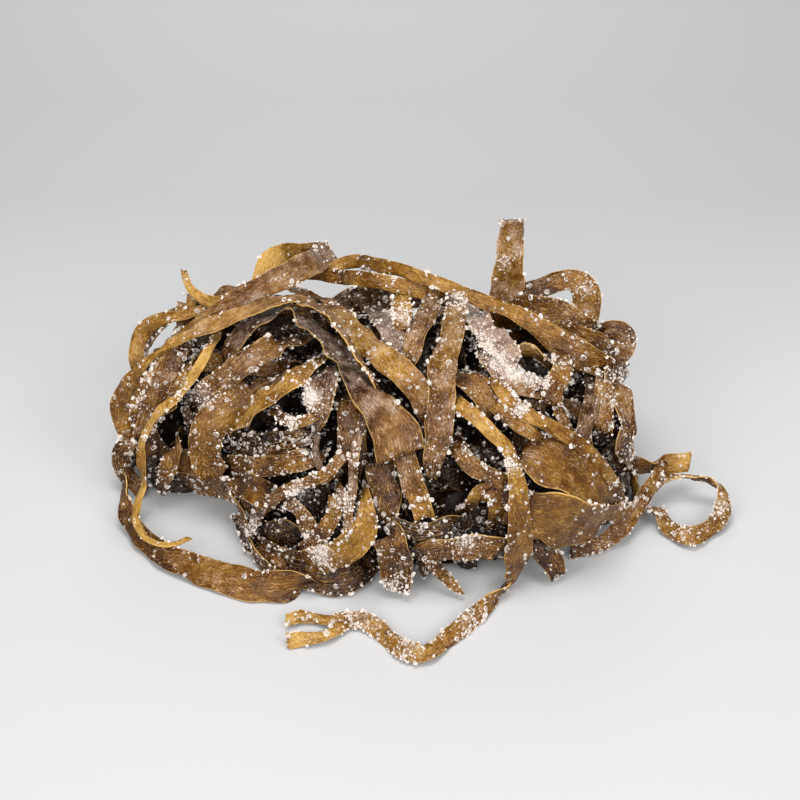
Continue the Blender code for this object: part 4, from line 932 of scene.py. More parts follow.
def back_rows(share_round, draw, looks):
    """Rows of a strap over the back or a side: some drape down to the table, the rest run round."""
    drapes = draw.random() < BACK_DRAPES
    start = BACK_FROM + (BACK_TO - BACK_FROM) * share_round + draw.uniform(-0.1, 0.1)
    sweep = draw.choice((-1, 1)) * (draw.uniform(0.1, 0.5) if drapes else draw.uniform(0.6, 1.3))
    high, low = draw.uniform(0.7, 1.15), draw.uniform(-0.08, 0.02)
    level = draw.uniform(0.04, 0.7)
    wave, phase = draw.uniform(0.06, 0.2), draw.uniform(0, math.tau)
    lift, turn = draw.uniform(-4.5, 0.5), draw.uniform(-0.5, 0.5)
    wide = draw.uniform(4.5, 8.5)
    rows = []
    for share in np.linspace(0, 1, BACK_STOPS):
        azimuth = start + sweep * (share - 0.5) + wave * math.sin(phase + 5 * share)
        elevation = high + (low - high) * share if drapes else level + wave * math.sin(4 * share)
        sunk = share == 0.0 or (share == 1.0 and not drapes)
        risen = TUCK_LIFT if sunk else lift + 1.2 * math.sin(phase + 9 * share)
        place = place_round_heap(azimuth, elevation, risen)
        rows.append([*place, wide, turn + 0.6 * math.sin(phase + 5 * share), *looks])
    return np.array(rows)


draw = random.Random(BACK_SEED)
looks_draw = random.Random(LOOKS_SEED)
back = [back_rows(i / (BACK_STRAPS - 1), draw, looks_at_random(looks_draw)) for i in range(BACK_STRAPS)]
print(len(back), "straps over the back")

# %% Straps underneath
UNDER_STRAPS, UNDER_STOPS = 120, 9
BEHIND_STRAPS, BEHIND_SEED = 30, 6
FRONT = {"about": -math.pi / 2, "spread": 1.5, "highest": 1.25}  # where they lie, in radians
BEHIND = {"about": math.pi / 2, "spread": 0.95, "highest": 0.7}
UNDER_PAINTED_SHADE = 0.45  # painted shade: how much darker they are, of the whole range of tones


def under_rows(draw, about, spread, highest):
    """Rows of a strap that wanders under the outline and goes deeper at both ends."""
    azimuth, elevation = draw.gauss(about, spread), draw.uniform(0.02, highest)
    heading, reach, bend = draw.uniform(0, math.tau), draw.uniform(0.5, 1.2), draw.uniform(-1.4, 1.4)
    deep, phase = draw.uniform(-10.5, -4.5), draw.uniform(0, math.tau)
    wide, turn = draw.uniform(4.0, 8.0), draw.uniform(-0.6, 0.6)
    looks = looks_at_random(draw, UNDER_PAINTED_SHADE)
    rows = []
    for share in np.linspace(-0.5, 0.5, UNDER_STOPS):
        direction = heading + bend * share
        round_by = reach * share * math.cos(direction) / max(math.cos(elevation), 0.35)
        up_by = reach * share * math.sin(direction)
        lift = deep + 1.5 * math.sin(phase + 9 * share) - 20 * max(abs(share) - 0.35, 0)
        place = place_round_heap(azimuth + round_by, min(max(elevation + up_by, -0.05), 1.5), lift)
        rows.append([*place, wide, turn + 0.8 * math.sin(phase + 7 * share), *looks])
    rows = np.array(rows)
    rows[:, :3] -= outward(rows[:, :3]) * hollow_depth(rows[:, :3])[:, None]
    return rows


under = [under_rows(looks_draw, **FRONT) for _ in range(UNDER_STRAPS)]
behind_draw = random.Random(BEHIND_SEED)
behind = [under_rows(behind_draw, **BEHIND) for _ in range(BEHIND_STRAPS)]
print(len(under) + len(behind), "straps underneath")

# %% The strap pieces
LEFT, RIGHT = -22.0, 36.0  # where the front's straps are parted into pieces


def by_rule(routes, first_seed):
    """Straps laid by rule, ready for a piece, each with a seed of its own."""
    return [(evened(smooth_rows(rows)), "out", first_seed + 100 * i) for i, rows in enumerate(routes)]


laid = [(evened(smooth_rows(strap_rows(entry))), entry.get("face", "out"), 100 * i)
        for i, entry in enumerate(STRAPS.values())]
middle = [rows[:, 0].mean() for rows, _, _ in laid]
shares = {
    "straps_left": [entry for entry, x in zip(laid, middle) if x < LEFT],
    "straps_centre": [entry for entry, x in zip(laid, middle) if LEFT <= x < RIGHT],
    "straps_right": [entry for entry, x in zip(laid, middle) if x >= RIGHT],
    "straps_back": by_rule(back, 10000),
    "straps_inside_a": by_rule(under[::2], 20000),
    "straps_inside_b": by_rule(under[1::2], 30000),
    "straps_inside_c": by_rule(behind, 40000),
}
strap_pieces = [strap_piece(name, straps) for name, straps in shares.items()]
print(sum(len(straps) for straps in shares.values()), "straps in", len(strap_pieces), "pieces")

# %% [markdown]
# ## The middle of the heap
#
# Straps that nobody sees need not be there. A lumpy middle, dark with painted shade, closes the view
# between the others: the same lobes, drawn in by the depth of a few straps, on a grid from pole to pole.

# %% Middle of the heap
MIDDLE_DEPTH = 12.0  # mm under the outline of the heap
MIDDLE_LUMPS, MIDDLE_GAP = 1.5, 0.2  # mm: the height of its lumps, and its distance from the table
MIDDLE_ROUND, MIDDLE_RISE = 90, 40  # steps of the grid


def middle_lobe(index):
    """r(azimuth, elevation): the point of a drawn-in lobe in that direction, with lumps."""
    azimuths = math.tau * np.arange(MIDDLE_ROUND) / MIDDLE_ROUND
    elevations = np.linspace(-math.pi / 2, math.pi / 2, MIDDLE_RISE + 2)[1:-1]
    azimuth, elevation = np.meshgrid(azimuths, elevations)
    flat = np.cos(elevation)
    grid = np.stack([flat * np.cos(azimuth), flat * np.sin(azimuth), np.sin(elevation)], axis=-1)
    units = np.vstack([-UP, grid.reshape(-1, 3), UP])
    halves = LOBES[index, 2:] - MIDDLE_DEPTH
    points = units / (np.abs(units) ** LOBE_POWER).sum(axis=1, keepdims=True) ** (1 / LOBE_POWER) * halves
    points += units * (MIDDLE_LUMPS * creases(points * [1.0, 1.0, 1.6], 9.0, 70 + index))[:, None]
    points += CENTRES[index]
    points[:, 2] = np.maximum(points[:, 2], MIDDLE_GAP)
    return points


def wall_faces(around, rings):
    """Two triangles for each square of a closed wall, ring upon ring from the foot up."""
    here = np.arange((rings - 1) * around).reshape(rings - 1, around)
    beside = np.roll(here, -1, axis=1)
    first = np.stack([here, beside, beside + around], axis=-1).reshape(-1, 3)
    second = np.stack([here, beside + around, here + around], axis=-1).reshape(-1, 3)
    return np.vstack([first, second])


def pole_faces(around, rings):
    """A wall of rings closed by a fan at each pole; point 0 is the low pole and the last the high one."""
    low = 1 + np.arange(around)
    high = low + (rings - 1) * around
    foot = np.stack([0 * low, np.roll(low, -1), low], axis=1)
    top = np.stack([0 * high + rings * around + 1, high, np.roll(high, -1)], axis=1)
    return np.vstack([wall_faces(around, rings) + 1, foot, top])


lobe_faces = pole_faces(MIDDLE_ROUND, MIDDLE_RISE)
lobe_points = [middle_lobe(i) for i in range(len(LOBES))]
middle_faces = [lobe_faces + i * len(lobe_points[0]) for i in range(len(LOBES))]
packed_middle = mesh_piece("packed_middle", np.vstack(lobe_points), np.vstack(middle_faces))
print("packed middle:", len(packed_middle.data.polygons), "triangles")

# %% [markdown]
# ## Where salt can lie
#
# Crystals sit on what is open to the air: a place counts if a short line out of it, up from it, towards
# the eye or along the heap's outward direction gets away free. A tree of the straps' faces answers that
# quickly. More salt clings to some straps than to others, and it clings in clusters.

# %% Crusts of salt: places in the frame, how far they reach there, and their grains
CRUSTS = {
    "crust_top": {"at": (480, 334), "reach": 8, "grains": 90},
    "crust_upper": {"at": (488, 346), "reach": 8, "grains": 160},
    "crust_middle": {"at": (499, 360), "reach": 9, "grains": 300},
    "crust_lower": {"at": (513, 373), "reach": 8, "grains": 300},
    "crust_right": {"at": (530, 380), "reach": 8, "grains": 180},
    "crust_tip": {"at": (546, 382), "reach": 6, "grains": 80},
    "crust_blob": {"at": (521, 408), "reach": 6, "grains": 150},
    "crust_back": {"at": (458, 300), "reach": 7, "grains": 150},
    "cross_patch": {"at": (312, 397), "reach": 9, "grains": 260},
    "cross_rim": {"at": (292, 421), "reach": 8, "grains": 110},
    "left_rim": {"at": (203, 397), "reach": 12, "grains": 120},
    "bowl_left": {"at": (252, 528), "reach": 6, "grains": 180},
    "bowl_top": {"at": (300, 492), "reach": 12, "grains": 150},
    "bowl_right": {"at": (345, 500), "reach": 9, "grains": 110},
    "bowl_foot": {"at": (322, 557), "reach": 9, "grains": 240},
    "lobe_tip": {"at": (395, 585), "reach": 8, "grains": 120},
    "front_right": {"at": (466, 540), "reach": 13, "grains": 140},
    "knee": {"at": (513, 466), "reach": 8, "grains": 130},
    "tail_bend": {"at": (404, 652), "reach": 12, "grains": 100},
    "tail_top": {"at": (470, 622), "reach": 14, "grains": 100},
    "tail_left": {"at": (360, 620), "reach": 14, "grains": 100},
    "loop_right": {"at": (716, 510), "reach": 12, "grains": 70},
    "loop_foot": {"at": (680, 530), "reach": 10, "grains": 50},
    "column": {"at": (613, 380), "reach": 12, "grains": 80},
    "right_top": {"at": (585, 288), "reach": 9, "grains": 90},
    "middle_top": {"at": (402, 316), "reach": 8, "grains": 150},
    "stub_side": {"at": (505, 262), "reach": 6, "grains": 50},
}
THICK_CRUST, WHITEST = 200, 1.5  # grains that hide the skin under them, and the most that it whitens
TOWARDS_EYE = 0.1  # how far a place of a crust faces the eye, at the least


def crust_bell(seen, crust):
    """A bell round a crust, in the frame: 1 in its middle."""
    return np.exp(-(np.linalg.norm(seen - crust["at"], axis=1) / crust["reach"]) ** 2)


print(sum(crust["grains"] for crust in CRUSTS.values()), "grains in", len(CRUSTS), "crusts")

# %% Pieces read back as arrays, and a tree of their faces
def arrays_of(piece, *names):
    """A piece's points in mm, normals and named values, as arrays."""
    mesh = piece.data
    points, normals = np.empty((2, len(mesh.vertices) * 3), np.float32)
    mesh.vertices.foreach_get("co", points)
    mesh.vertices.foreach_get("normal", normals)
    values = []
    for name in names:
        value = np.empty(len(mesh.vertices), np.float32)
        mesh.attributes[name].data.foreach_get("value", value)
        values.append(value)
    return [points.reshape(-1, 3).astype(float) / MM, normals.reshape(-1, 3).astype(float), *values]


def tree_of(pieces):
    """A search tree of all faces of some pieces made of quads, in mm."""
    points, faces, first = [], [], 0
    for piece in pieces:
        points.append(arrays_of(piece)[0])
        faces.append(corners_of(piece).reshape(-1, 4) + first)
        first += len(piece.data.vertices)
    return BVHTree.FromPolygons(np.vstack(points).tolist(), [f for part in faces for f in part.tolist()])


tree = tree_of(strap_pieces)
print("a tree of the faces of", len(strap_pieces), "pieces")

# %% Open places on the straps
CLEAR_WAY = 14.0  # mm without a strap, as fingers sprinkling salt need
CLEAR_VIEW = 200.0  # mm, as a place needs to be seen
OFF_THE_SKIN = 0.4  # mm from which a line starts, so that it misses the face that it leaves
CANDIDATES, SALT_SEED = 90000, 3
CLUSTERS = (11.0, 4.0)  # mm from one cluster of salt to the next, large and small


def gets_away(place, normal, way, reach):
    """True where a line from just off the skin meets no strap within reach."""
    start = Vector(place + normal * OFF_THE_SKIN)
    return tree.ray_cast(start, Vector(way).normalized(), reach)[0] is None


def is_open(place, normal, out):
    """True where one of four lines out of the place gets away free."""
    ways = (normal + 0.5 * out, 0.3 * normal + out, 0.4 * normal + UP, -AHEAD)
    return any(gets_away(place, normal, way, CLEAR_WAY) for way in ways)


parts = [arrays_of(piece, "salt", "rim") for piece in strap_pieces]
points, normals, salt, rim = (np.concatenate(column) for column in zip(*parts))
out = outward(points)
facing = np.clip((normals * out).sum(axis=1) + 0.35, 0.0, 1.0)
clusters = np.exp(1.3 * waves(points, CLUSTERS[0], 71) + 0.7 * waves(points, CLUSTERS[1], 72))
weight = facing * salt**1.4 * clusters * (1 - 0.5 * rim**8)
chooser = np.random.default_rng(SALT_SEED)
picked = chooser.choice(len(points), CANDIDATES, replace=False, p=weight / weight.sum())
open_places = np.array([i for i in picked if is_open(points[i], normals[i], out[i])])
print(len(open_places), "of", CANDIDATES, "places are open")

# %% Places in the crusts
seen = place_in_frame(points)
towards_eye = np.clip(-(normals @ AHEAD), 0.0, 1.0)
crusted = []
for crust in CRUSTS.values():
    within = np.abs(seen - crust["at"]).max(axis=1) < 2 * crust["reach"]
    near = np.flatnonzero(within & (towards_eye > TOWARDS_EYE))
    near = near[[gets_away(points[i], normals[i], -AHEAD, CLEAR_VIEW) for i in near]]
    share = crust_bell(seen[near], crust) * towards_eye[near]
    crusted.append(chooser.choice(near, crust["grains"], p=share / share.sum()))
crusted = np.concatenate(crusted)
print(len(crusted), "grains in crusts")

# %% The skin under a crust is white too
first = 0
for piece in strap_pieces:
    here = slice(first, first + len(piece.data.vertices))
    bells = sum(crust_bell(seen[here], crust) * min(crust["grains"] / THICK_CRUST, WHITEST)
                for crust in CRUSTS.values())
    add_values(piece, "crust", np.minimum(bells * towards_eye[here], 1.0))
    first = here.stop
print("crusts marked on", len(strap_pieces), "pieces")

# %% [markdown]
# ## How open each place is
#
# Inside a heap the straps lie in shade, so the skin gets painted shade where the sky is hidden, and its
# painted sheen, highlights and rim light only where the sky reaches it. Seven lines from each face of a
# strap to the sky tell how open it is there, once for each ring of points.

# %% Open to the sky
SKY_REACH = 22.0  # mm
SKY_ROUND, SKY_RISE = 6, math.radians(38.0)
SKY_EVENED = 5  # rings over which the shares are evened
round_sky = math.tau * np.arange(SKY_ROUND) / SKY_ROUND - math.pi / 2
rise = np.full(SKY_ROUND, math.tan(SKY_RISE))
SKY = np.vstack([UP, np.column_stack([np.cos(round_sky), np.sin(round_sky), rise])])


def sky_shares(places, normals):
    """The share of the lines from each place to the sky that get away free, evened along the strap."""
    shares = [np.mean([gets_away(place, normal, way, SKY_REACH) for way in SKY])
              for place, normal in zip(places, normals)]
    padded = np.pad(shares, SKY_EVENED // 2, mode="edge")
    return np.convolve(padded, np.full(SKY_EVENED, 1 / SKY_EVENED), "valid")


for piece in strap_pieces:
    rings, ring_normals = (values.reshape(-1, RING, 3) for values in arrays_of(piece))
    upper, lower = (sky_shares(rings[:, k], ring_normals[:, k]) for k in (RING // 4, RING * 3 // 4))
    upper_part = (1 + RING_W) / 2
    add_values(piece, "open", np.outer(upper, upper_part) + np.outer(lower, 1 - upper_part))
    print(piece.name, "is open to", np.mean([upper, lower]).round(2), "of the sky")

# %% [markdown]
# ## The crystals
#
# Coarse sea salt is broken cubes, 1 to 2 mm, with finer grit between them. Pressed into wet leather they
# are half sunk, and seen from above each is a glassy window with a bright broken border. So a crystal is
# a profile turned round in a few flat sides, stretched and chipped, and each point keeps how near it is
# to the border. There are thousands, so the coarse ones take 44 triangles and the rest 20 or 12.

# %% Profiles of crystals
CRYSTAL_PROFILES = {  # rings from the foot up: radius and height as shares of half the size, and border
    "salt_coarse": {"sides": 8, "rings": ((0.8, -0.7, 1.0), (1.0, 0.1, 1.0), (0.7, 0.55, 0.0))},
    "salt_medium": {"sides": 6, "rings": ((1.0, -0.5, 1.0), (0.72, 0.5, 0.0))},
    "salt_fine": {"sides": 4, "rings": ((1.0, -0.6, 1.0), (0.8, 0.6, 0.5))},
    "salt_crust": {"sides": 4, "rings": ((1.0, -0.6, 1.0), (0.8, 0.6, 0.4))},
}


def turned_profile(sides, rings):
    """P(ring, angle) = (radius cos, radius sin, height), closed by a flat fan at foot and top."""
    angles = math.tau * np.arange(sides) / sides
    radius, height, border = np.array(rings).T[..., None]
    around = [radius * np.cos(angles), radius * np.sin(angles), height + 0 * angles]
    step = np.arange(1, sides - 1)
    foot = np.stack([0 * step, step + 1, step], axis=1)
    top = np.stack([0 * step, step, step + 1], axis=1) + (len(rings) - 1) * sides
    faces = np.vstack([wall_faces(sides, len(rings)), foot, top])
    return np.stack(around, axis=-1).reshape(-1, 3), faces, (border + 0 * angles).ravel()


print("a coarse crystal has", len(turned_profile(**CRYSTAL_PROFILES["salt_coarse"])[1]), "triangles")

# %% Crystals as arrays
TILT, ASIDE = 0.22, 0.4  # how far crystals lean from the skin's normal, and lie off its points in mm


def standing_on(normals, chooser):
    """Frames whose third axis is the normal, tilted a little, with the first one spun at random."""
    up = normals + chooser.normal(0, TILT, normals.shape)
    up /= np.linalg.norm(up, axis=1, keepdims=True)
    side = np.cross(up, chooser.normal(size=normals.shape))
    side /= np.linalg.norm(side, axis=1, keepdims=True)
    return np.stack([side, np.cross(up, side), up], axis=-1)


def salt_piece(name, chosen, sizes, sunk, seed, piled=0.0):
    """A crystal per place: place + normal * (pile - size * sunk) + frame @ (profile * sides * chips)."""
    chooser = np.random.default_rng(seed)
    corners, faces, border = turned_profile(**CRYSTAL_PROFILES[name])
    across = chooser.uniform(0.55, 1.0, (len(chosen), 2))
    high = chooser.uniform(0.5, 0.95, len(chosen))
    sides = sizes[:, None] / 2 * np.column_stack([across, high])
    chips = 1 + chooser.uniform(-0.3, 0.12, (len(chosen), len(corners), 1))
    local = corners[None] * sides[:, None] * chips
    turned = np.einsum("nij,nvj->nvi", standing_on(normals[chosen], chooser), local)
    lifts = piled * chooser.uniform(0, 1, len(chosen)) ** 1.5 - sizes * sunk
    centres = points[chosen] + normals[chosen] * lifts[:, None]
    aside = chooser.normal(0, ASIDE, centres.shape)
    centres += aside - normals[chosen] * (aside * normals[chosen]).sum(axis=1, keepdims=True)
    placed = turned + centres[:, None]
    placed[..., 2] = np.maximum(placed[..., 2], TABLE_GAP)
    firsts = (np.arange(len(chosen)) * len(corners))[:, None, None]
    piece = mesh_piece(name, placed.reshape(-1, 3), (faces[None] + firsts).reshape(-1, 3), smooth=False)
    add_values(piece, "clear", np.repeat(chooser.uniform(0, 1, len(chosen)), len(corners)))
    add_values(piece, "border", np.tile(border, len(chosen)))
    print(name, len(chosen), "crystals", len(piece.data.polygons), "triangles")
    return piece


print("crystals lean by about", round(math.degrees(math.atan(TILT))), "degrees")

# %% The four sizes of salt
COARSE, MEDIUM, FINE = 2400, 7000, 5000
SALT_SIZES = ((1.4, 2.3), (0.7, 1.55), (0.3, 0.65))  # mm
GRAIN_LEAST, GRAIN_MORE = 0.35, 0.95  # mm, in the crusts
COARSE_SUNK = 0.02  # of its size
CRUST_PILED = 0.35  # mm over the skin

chooser = np.random.default_rng(SALT_SEED + 1)
order = chooser.permutation(open_places)
groups = np.split(order, [COARSE, COARSE + MEDIUM, COARSE + MEDIUM + FINE])[:3]
coarse, medium, fine = (chooser.uniform(*size, len(group)) for size, group in zip(SALT_SIZES, groups))
grains = GRAIN_LEAST + GRAIN_MORE * chooser.uniform(0, 1, len(crusted)) ** 2
salt_pieces = [
    salt_piece("salt_coarse", groups[0], coarse, COARSE_SUNK, 8),
    salt_piece("salt_medium", groups[1], medium, 0.0, 9),
    salt_piece("salt_fine", groups[2], fine, 0.0, 10),
    salt_piece("salt_crust", crusted, grains, 0.0, 11, CRUST_PILED),
]
print(sum(len(group) for group in groups) + len(crusted), "crystals in all")

# %% [markdown]
# ## Seaweed leather
#
# The straps are air-dried brown seaweed: a tough, slightly waxy skin, like vegetable-tanned leather. It is
# nearly black where it folds, ochre on its faces, and golden at the thin rims, with painted rim light there
# for the light that comes through. Where the sky is hidden it gets painted shade, and where the sky reaches
# it, painted highlights on the ridges of its puckers. Drying salt leaves a mauve-grey bloom in patches,
# which is partly a painted sheen on faces that look up, and a fine grit. All of it is worked out from the
# strap's own UV, which is in metres, and from the values stored on it.

# %% Materials: small helpers
def linear(code):
    """An sRGB hex colour such as "#63411A" as linear red, green, blue and alpha."""
    values = np.array([int(code[i : i + 2], 16) for i in (1, 3, 5)]) / 255
    return (*np.where(values <= 0.04045, values / 12.92, ((values + 0.055) / 1.055) ** 2.4), 1.0)


def add(tree, kind, settings=None, **inputs):
    """Adds a node: settings are its own properties; inputs, by name or as i0, are values or sockets."""
    node = tree.nodes.new("ShaderNode" + kind)
    for name, value in (settings or {}).items():
        setattr(node, name, value)
    for name, value in inputs.items():
        by_number = name[0] == "i" and name[1:].isdigit()
        socket = node.inputs[int(name[1:]) if by_number else name.replace("_", " ")]
        if isinstance(value, bpy.types.NodeSocket):
            tree.links.new(value, socket)
        else:
            socket.default_value = value
    return node


def bare_material(name):
    """A material with its shader node and an empty tree round it."""
    material = bpy.data.materials.new(name)
    material.use_nodes = True
    return material, material.node_tree, material.node_tree.nodes["Principled BSDF"]


def per_mm(size):
    """The scale of a texture whose features are this many millimetres across."""
    return 1 / (size * MM)


print("ochre in linear light:", [round(float(c), 3) for c in linear("#7A5420")])

# %% Materials: shares and sums
def blended(tree, share, first, second):
    """first where share is 0 and second where it is 1."""
    return add(tree, "Mix", {"data_type": "RGBA"}, i0=share, i6=first, i7=second).outputs[2]


def stepped(tree, value, low, high, most=1.0):
    """0 below low, rising smoothly to most at high."""
    settings = {"interpolation_type": "SMOOTHSTEP"}
    return add(tree, "MapRange", settings, i0=value, i1=low, i2=high, i3=0.0, i4=most).outputs[0]


def sum_of(tree, first, second, factor):
    """first + factor * (second - 0.5)"""
    centred = add(tree, "Math", {"operation": "SUBTRACT"}, i0=second, i1=0.5).outputs[0]
    return add(tree, "Math", {"operation": "MULTIPLY_ADD"}, i0=centred, i1=factor, i2=first).outputs[0]


def scaled(tree, value, factor):
    """value * factor"""
    return add(tree, "Math", {"operation": "MULTIPLY"}, i0=value, i1=factor).outputs[0]


def ramped(tree, share, stops):
    """The colour at a share from 0 to 1 along stops, which give a hex colour for each place."""
    ramp = add(tree, "ValToRGB", Fac=share)
    elements = ramp.color_ramp.elements
    first, *between, last = stops.items()
    for element, (position, code) in zip(elements, (first, last)):
        element.position, element.color = position, linear(code)
    for position, code in between:
        elements.new(position).color = linear(code)
    return ramp.outputs[0]


print("a grain of 0.5 mm takes a noise scale of", per_mm(0.5))

# %% Patterns in the leather
WAVE_BAND = 0.314  # of a unit, which one band of the wave texture takes


def leather_patterns(tree):
    """Noise for mottle, fibres, patches and grit, ridges for wrinkles, and patchy bands for puckers."""
    uv = add(tree, "UVMap", {"uv_map": "strap"}).outputs[0]
    place = add(tree, "TexCoord").outputs["Object"]
    stretched = add(tree, "Mapping", i0=uv, i3=(0.3, 1.0, 1.0)).outputs[0]
    pressed = add(tree, "Mapping", i0=uv, i3=(0.7, 1.0, 1.0)).outputs[0]
    mottle = add(tree, "TexNoise", Vector=place, Scale=per_mm(8), Detail=3.0, Roughness=0.6).outputs[0]
    fibres = add(tree, "TexNoise", Vector=pressed, Scale=per_mm(0.8), Detail=2.0, Roughness=0.6).outputs[0]
    patches = add(tree, "TexNoise", Vector=place, Scale=per_mm(4), Detail=4.0, Roughness=0.65).outputs[0]
    grit = add(tree, "TexNoise", Vector=place, Scale=per_mm(0.5), Detail=1.0).outputs[0]
    ridged = {"noise_type": "RIDGED_MULTIFRACTAL"}
    ridges = {"Detail": 2.0, "Offset": 0.8, "Gain": 1.5}  # so that it runs from 0 to 1
    wrinkles = add(tree, "TexNoise", ridged, Vector=stretched, Scale=per_mm(1.9), **ridges).outputs[0]
    bands = {"Scale": WAVE_BAND * per_mm(0.95), "Distortion": 9.0}
    bands.update({"Detail": 1.0, "Detail Scale": 1.7, "Detail Roughness": 0.5})
    lines = add(tree, "TexWave", {"bands_direction": "Y"}, Vector=pressed, **bands).outputs["Fac"]
    puckers = sum_of(tree, stepped(tree, lines, 0.45, 1.0), patches, 2.6)
    return mottle, fibres, patches, grit, wrinkles, puckers


print("bands 0.95 mm apart take a wave scale of", round(WAVE_BAND * per_mm(0.95)))

# %% Skin, bloom and salt on the leather
SKIN_TONES = {0.02: "#140803", 0.27: "#341802", 0.52: "#5C3706", 0.78: "#865E1B", 1.0: "#B38C46"}


def bare_skin(tree, tone, open_share, mottle, fibres, wrinkles):
    """Nearly black, ochre or golden by its tone, with painted shade where the sky is hidden and a little
    painted light where it is open.
    """
    shade = sum_of(tree, sum_of(tree, sum_of(tree, tone, mottle, 0.95), fibres, 0.5), wrinkles, 0.15)
    # Painted shade: the skin is drawn darker where the sky is hidden, and a little lighter where it is
    # open.
    painted_sky_shade = add(tree, "MapRange", i0=open_share, i1=0.0, i2=1.0, i3=-0.34, i4=0.10).outputs[0]
    shade = add(tree, "Math", {"operation": "ADD"}, i0=shade, i1=painted_sky_shade).outputs[0]
    return ramped(tree, shade, SKIN_TONES)


def bloomed_highlit_skin(tree, skin, bloom, sky_lit, patches, puckers):
    """The skin under a veil of brine that is partly bloom and partly painted sheen, with painted
    highlights, golden, or white where the bloom is, on the ridges of its puckers.
    """
    upward = add(tree, "SeparateXYZ", i0=add(tree, "NewGeometry").outputs["Normal"]).outputs[2]
    bloom_and_sheen = sum_of(tree, bloom, upward, 0.3)  # the bloom, with a painted sheen on what faces up
    bloom_sheen_share = stepped(tree, sum_of(tree, bloom_and_sheen, patches, 2.0), 0.35, 1.2)
    # Painted sheen: the mauve-grey veil of bloom is drawn strongest on faces that look up and are open to
    # the sky.
    veil_sheen_share = scaled(tree, bloom_sheen_share, scaled(tree, sky_lit, 0.6))
    veiled_sheened = blended(tree, veil_sheen_share, skin, linear("#A48D80"))
    # Painted highlights: the ridges of the puckers are drawn golden, or white where the bloom is, where the
    # sky reaches them.
    crest_highlight = blended(tree, bloom_sheen_share, linear("#BA8E4A"), linear("#DDD0C5"))
    crest_highlight_share = scaled(tree, stepped(tree, puckers, 0.65, 1.15, 0.36), sky_lit)
    return blended(tree, crest_highlight_share, veiled_sheened, crest_highlight)


def salted_skin(tree, skin, salt, crust, patches, grit):
    """The skin with fine grit, and with a film and a white crust where many grains lie."""
    grit_share = stepped(tree, sum_of(tree, grit, salt, 0.12), 0.68, 0.76, 0.5)
    gritty = blended(tree, grit_share, skin, linear("#DDD2C4"))
    film_share = stepped(tree, sum_of(tree, crust, patches, 0.8), 0.15, 0.6, 0.5)
    filmed = blended(tree, film_share, gritty, linear("#B3A296"))
    crusty = sum_of(tree, sum_of(tree, crust, patches, 1.2), grit, 1.2)
    crust_share = stepped(tree, crusty, 0.55, 1.0, 0.85)
    return blended(tree, crust_share, filmed, linear("#F2EAE1"))


print(len(SKIN_TONES), "tones of skin")

# %% Seaweed leather
def seaweed_leather():
    """Brown seaweed left to dry in the air: waxy ochre leather with salt grit, a grey bloom that is partly
    painted sheen, painted shade, painted golden rim light and painted highlights.
    """
    material, tree, shader = bare_material("air_dried_seaweed")
    tone, salt, bloom, rim, crust, open_share = (
        add(tree, "Attribute", {"attribute_name": name}).outputs["Fac"]
        for name in ("tone", "salt", "bloom", "rim", "crust", "open")
    )
    mottle, fibres, patches, grit, wrinkles, puckers = leather_patterns(tree)
    # How much painted sheen, painted highlight and painted rim light a place gets: only where the sky
    # reaches it.
    sky_lit = stepped(tree, open_share, 0.05, 0.5)
    skin = bare_skin(tree, tone, open_share, mottle, fibres, wrinkles)
    bloomed_highlit = bloomed_highlit_skin(tree, skin, bloom, sky_lit, patches, puckers)
    # Painted rim light: the thin rims are drawn golden, as if lit through, where the sky reaches them.
    rim_light_share = scaled(tree, stepped(tree, sum_of(tree, rim, mottle, 0.1), 0.93, 1.0, 0.75), sky_lit)
    golden = blended(tree, rim_light_share, bloomed_highlit, linear("#D9AE62"))
    coloured = salted_skin(tree, golden, salt, crust, patches, grit)

    relief = sum_of(tree, sum_of(tree, sum_of(tree, fibres, wrinkles, 0.3), puckers, 0.2), grit, 0.15)
    bump = add(tree, "Bump", Height=relief, Strength=1.0, Distance=0.6 * MM).outputs[0]
    gloss = add(tree, "MapRange", i0=mottle, i1=0.3, i2=0.7, i3=0.17, i4=0.32).outputs[0]
    tree.links.new(coloured, shader.inputs["Base Color"])
    tree.links.new(bump, shader.inputs["Normal"])
    tree.links.new(gloss, shader.inputs["Roughness"])
    shader.inputs["IOR"].default_value = 1.47
    shader.inputs["Specular Tint"].default_value = linear("#FFDCC4")
    shader.inputs["Coat Weight"].default_value = 0.08
    shader.inputs["Coat Roughness"].default_value = 0.18
    return material


leather = seaweed_leather()
for piece in strap_pieces:
    piece.data.materials.append(leather)
print("seaweed leather with", len(leather.node_tree.nodes), "nodes")

# %% [markdown]
# ## Packed weed in painted shade
#
# Deep in the heap nothing lights the straps, so their shade is painted: a rough, nearly black brown with
# slow streaks is all the eye gets from there.

# %% Packed weed
def painted_shade_weed():
    """Seaweed deep in the heap, painted almost black as its shade, with brown streaks."""
    material, tree, shader = bare_material("packed_seaweed_painted_shade")
    place = add(tree, "TexCoord").outputs["Object"]
    streaks = add(tree, "TexNoise", Vector=place, Scale=per_mm(6), Detail=5.0, Roughness=0.6).outputs[0]
    shade = stepped(tree, streaks, 0.4, 0.75)
    brown = blended(tree, shade, linear("#120803"), linear("#381D08"))
    tree.links.new(brown, shader.inputs["Base Color"])
    bump = add(tree, "Bump", Height=streaks, Strength=0.8, Distance=1.5 * MM).outputs[0]
    tree.links.new(bump, shader.inputs["Normal"])
    shader.inputs["Roughness"].default_value = 0.6
    return material


packed_middle.data.materials.append(painted_shade_weed())
print("packed weed on", packed_middle.name)

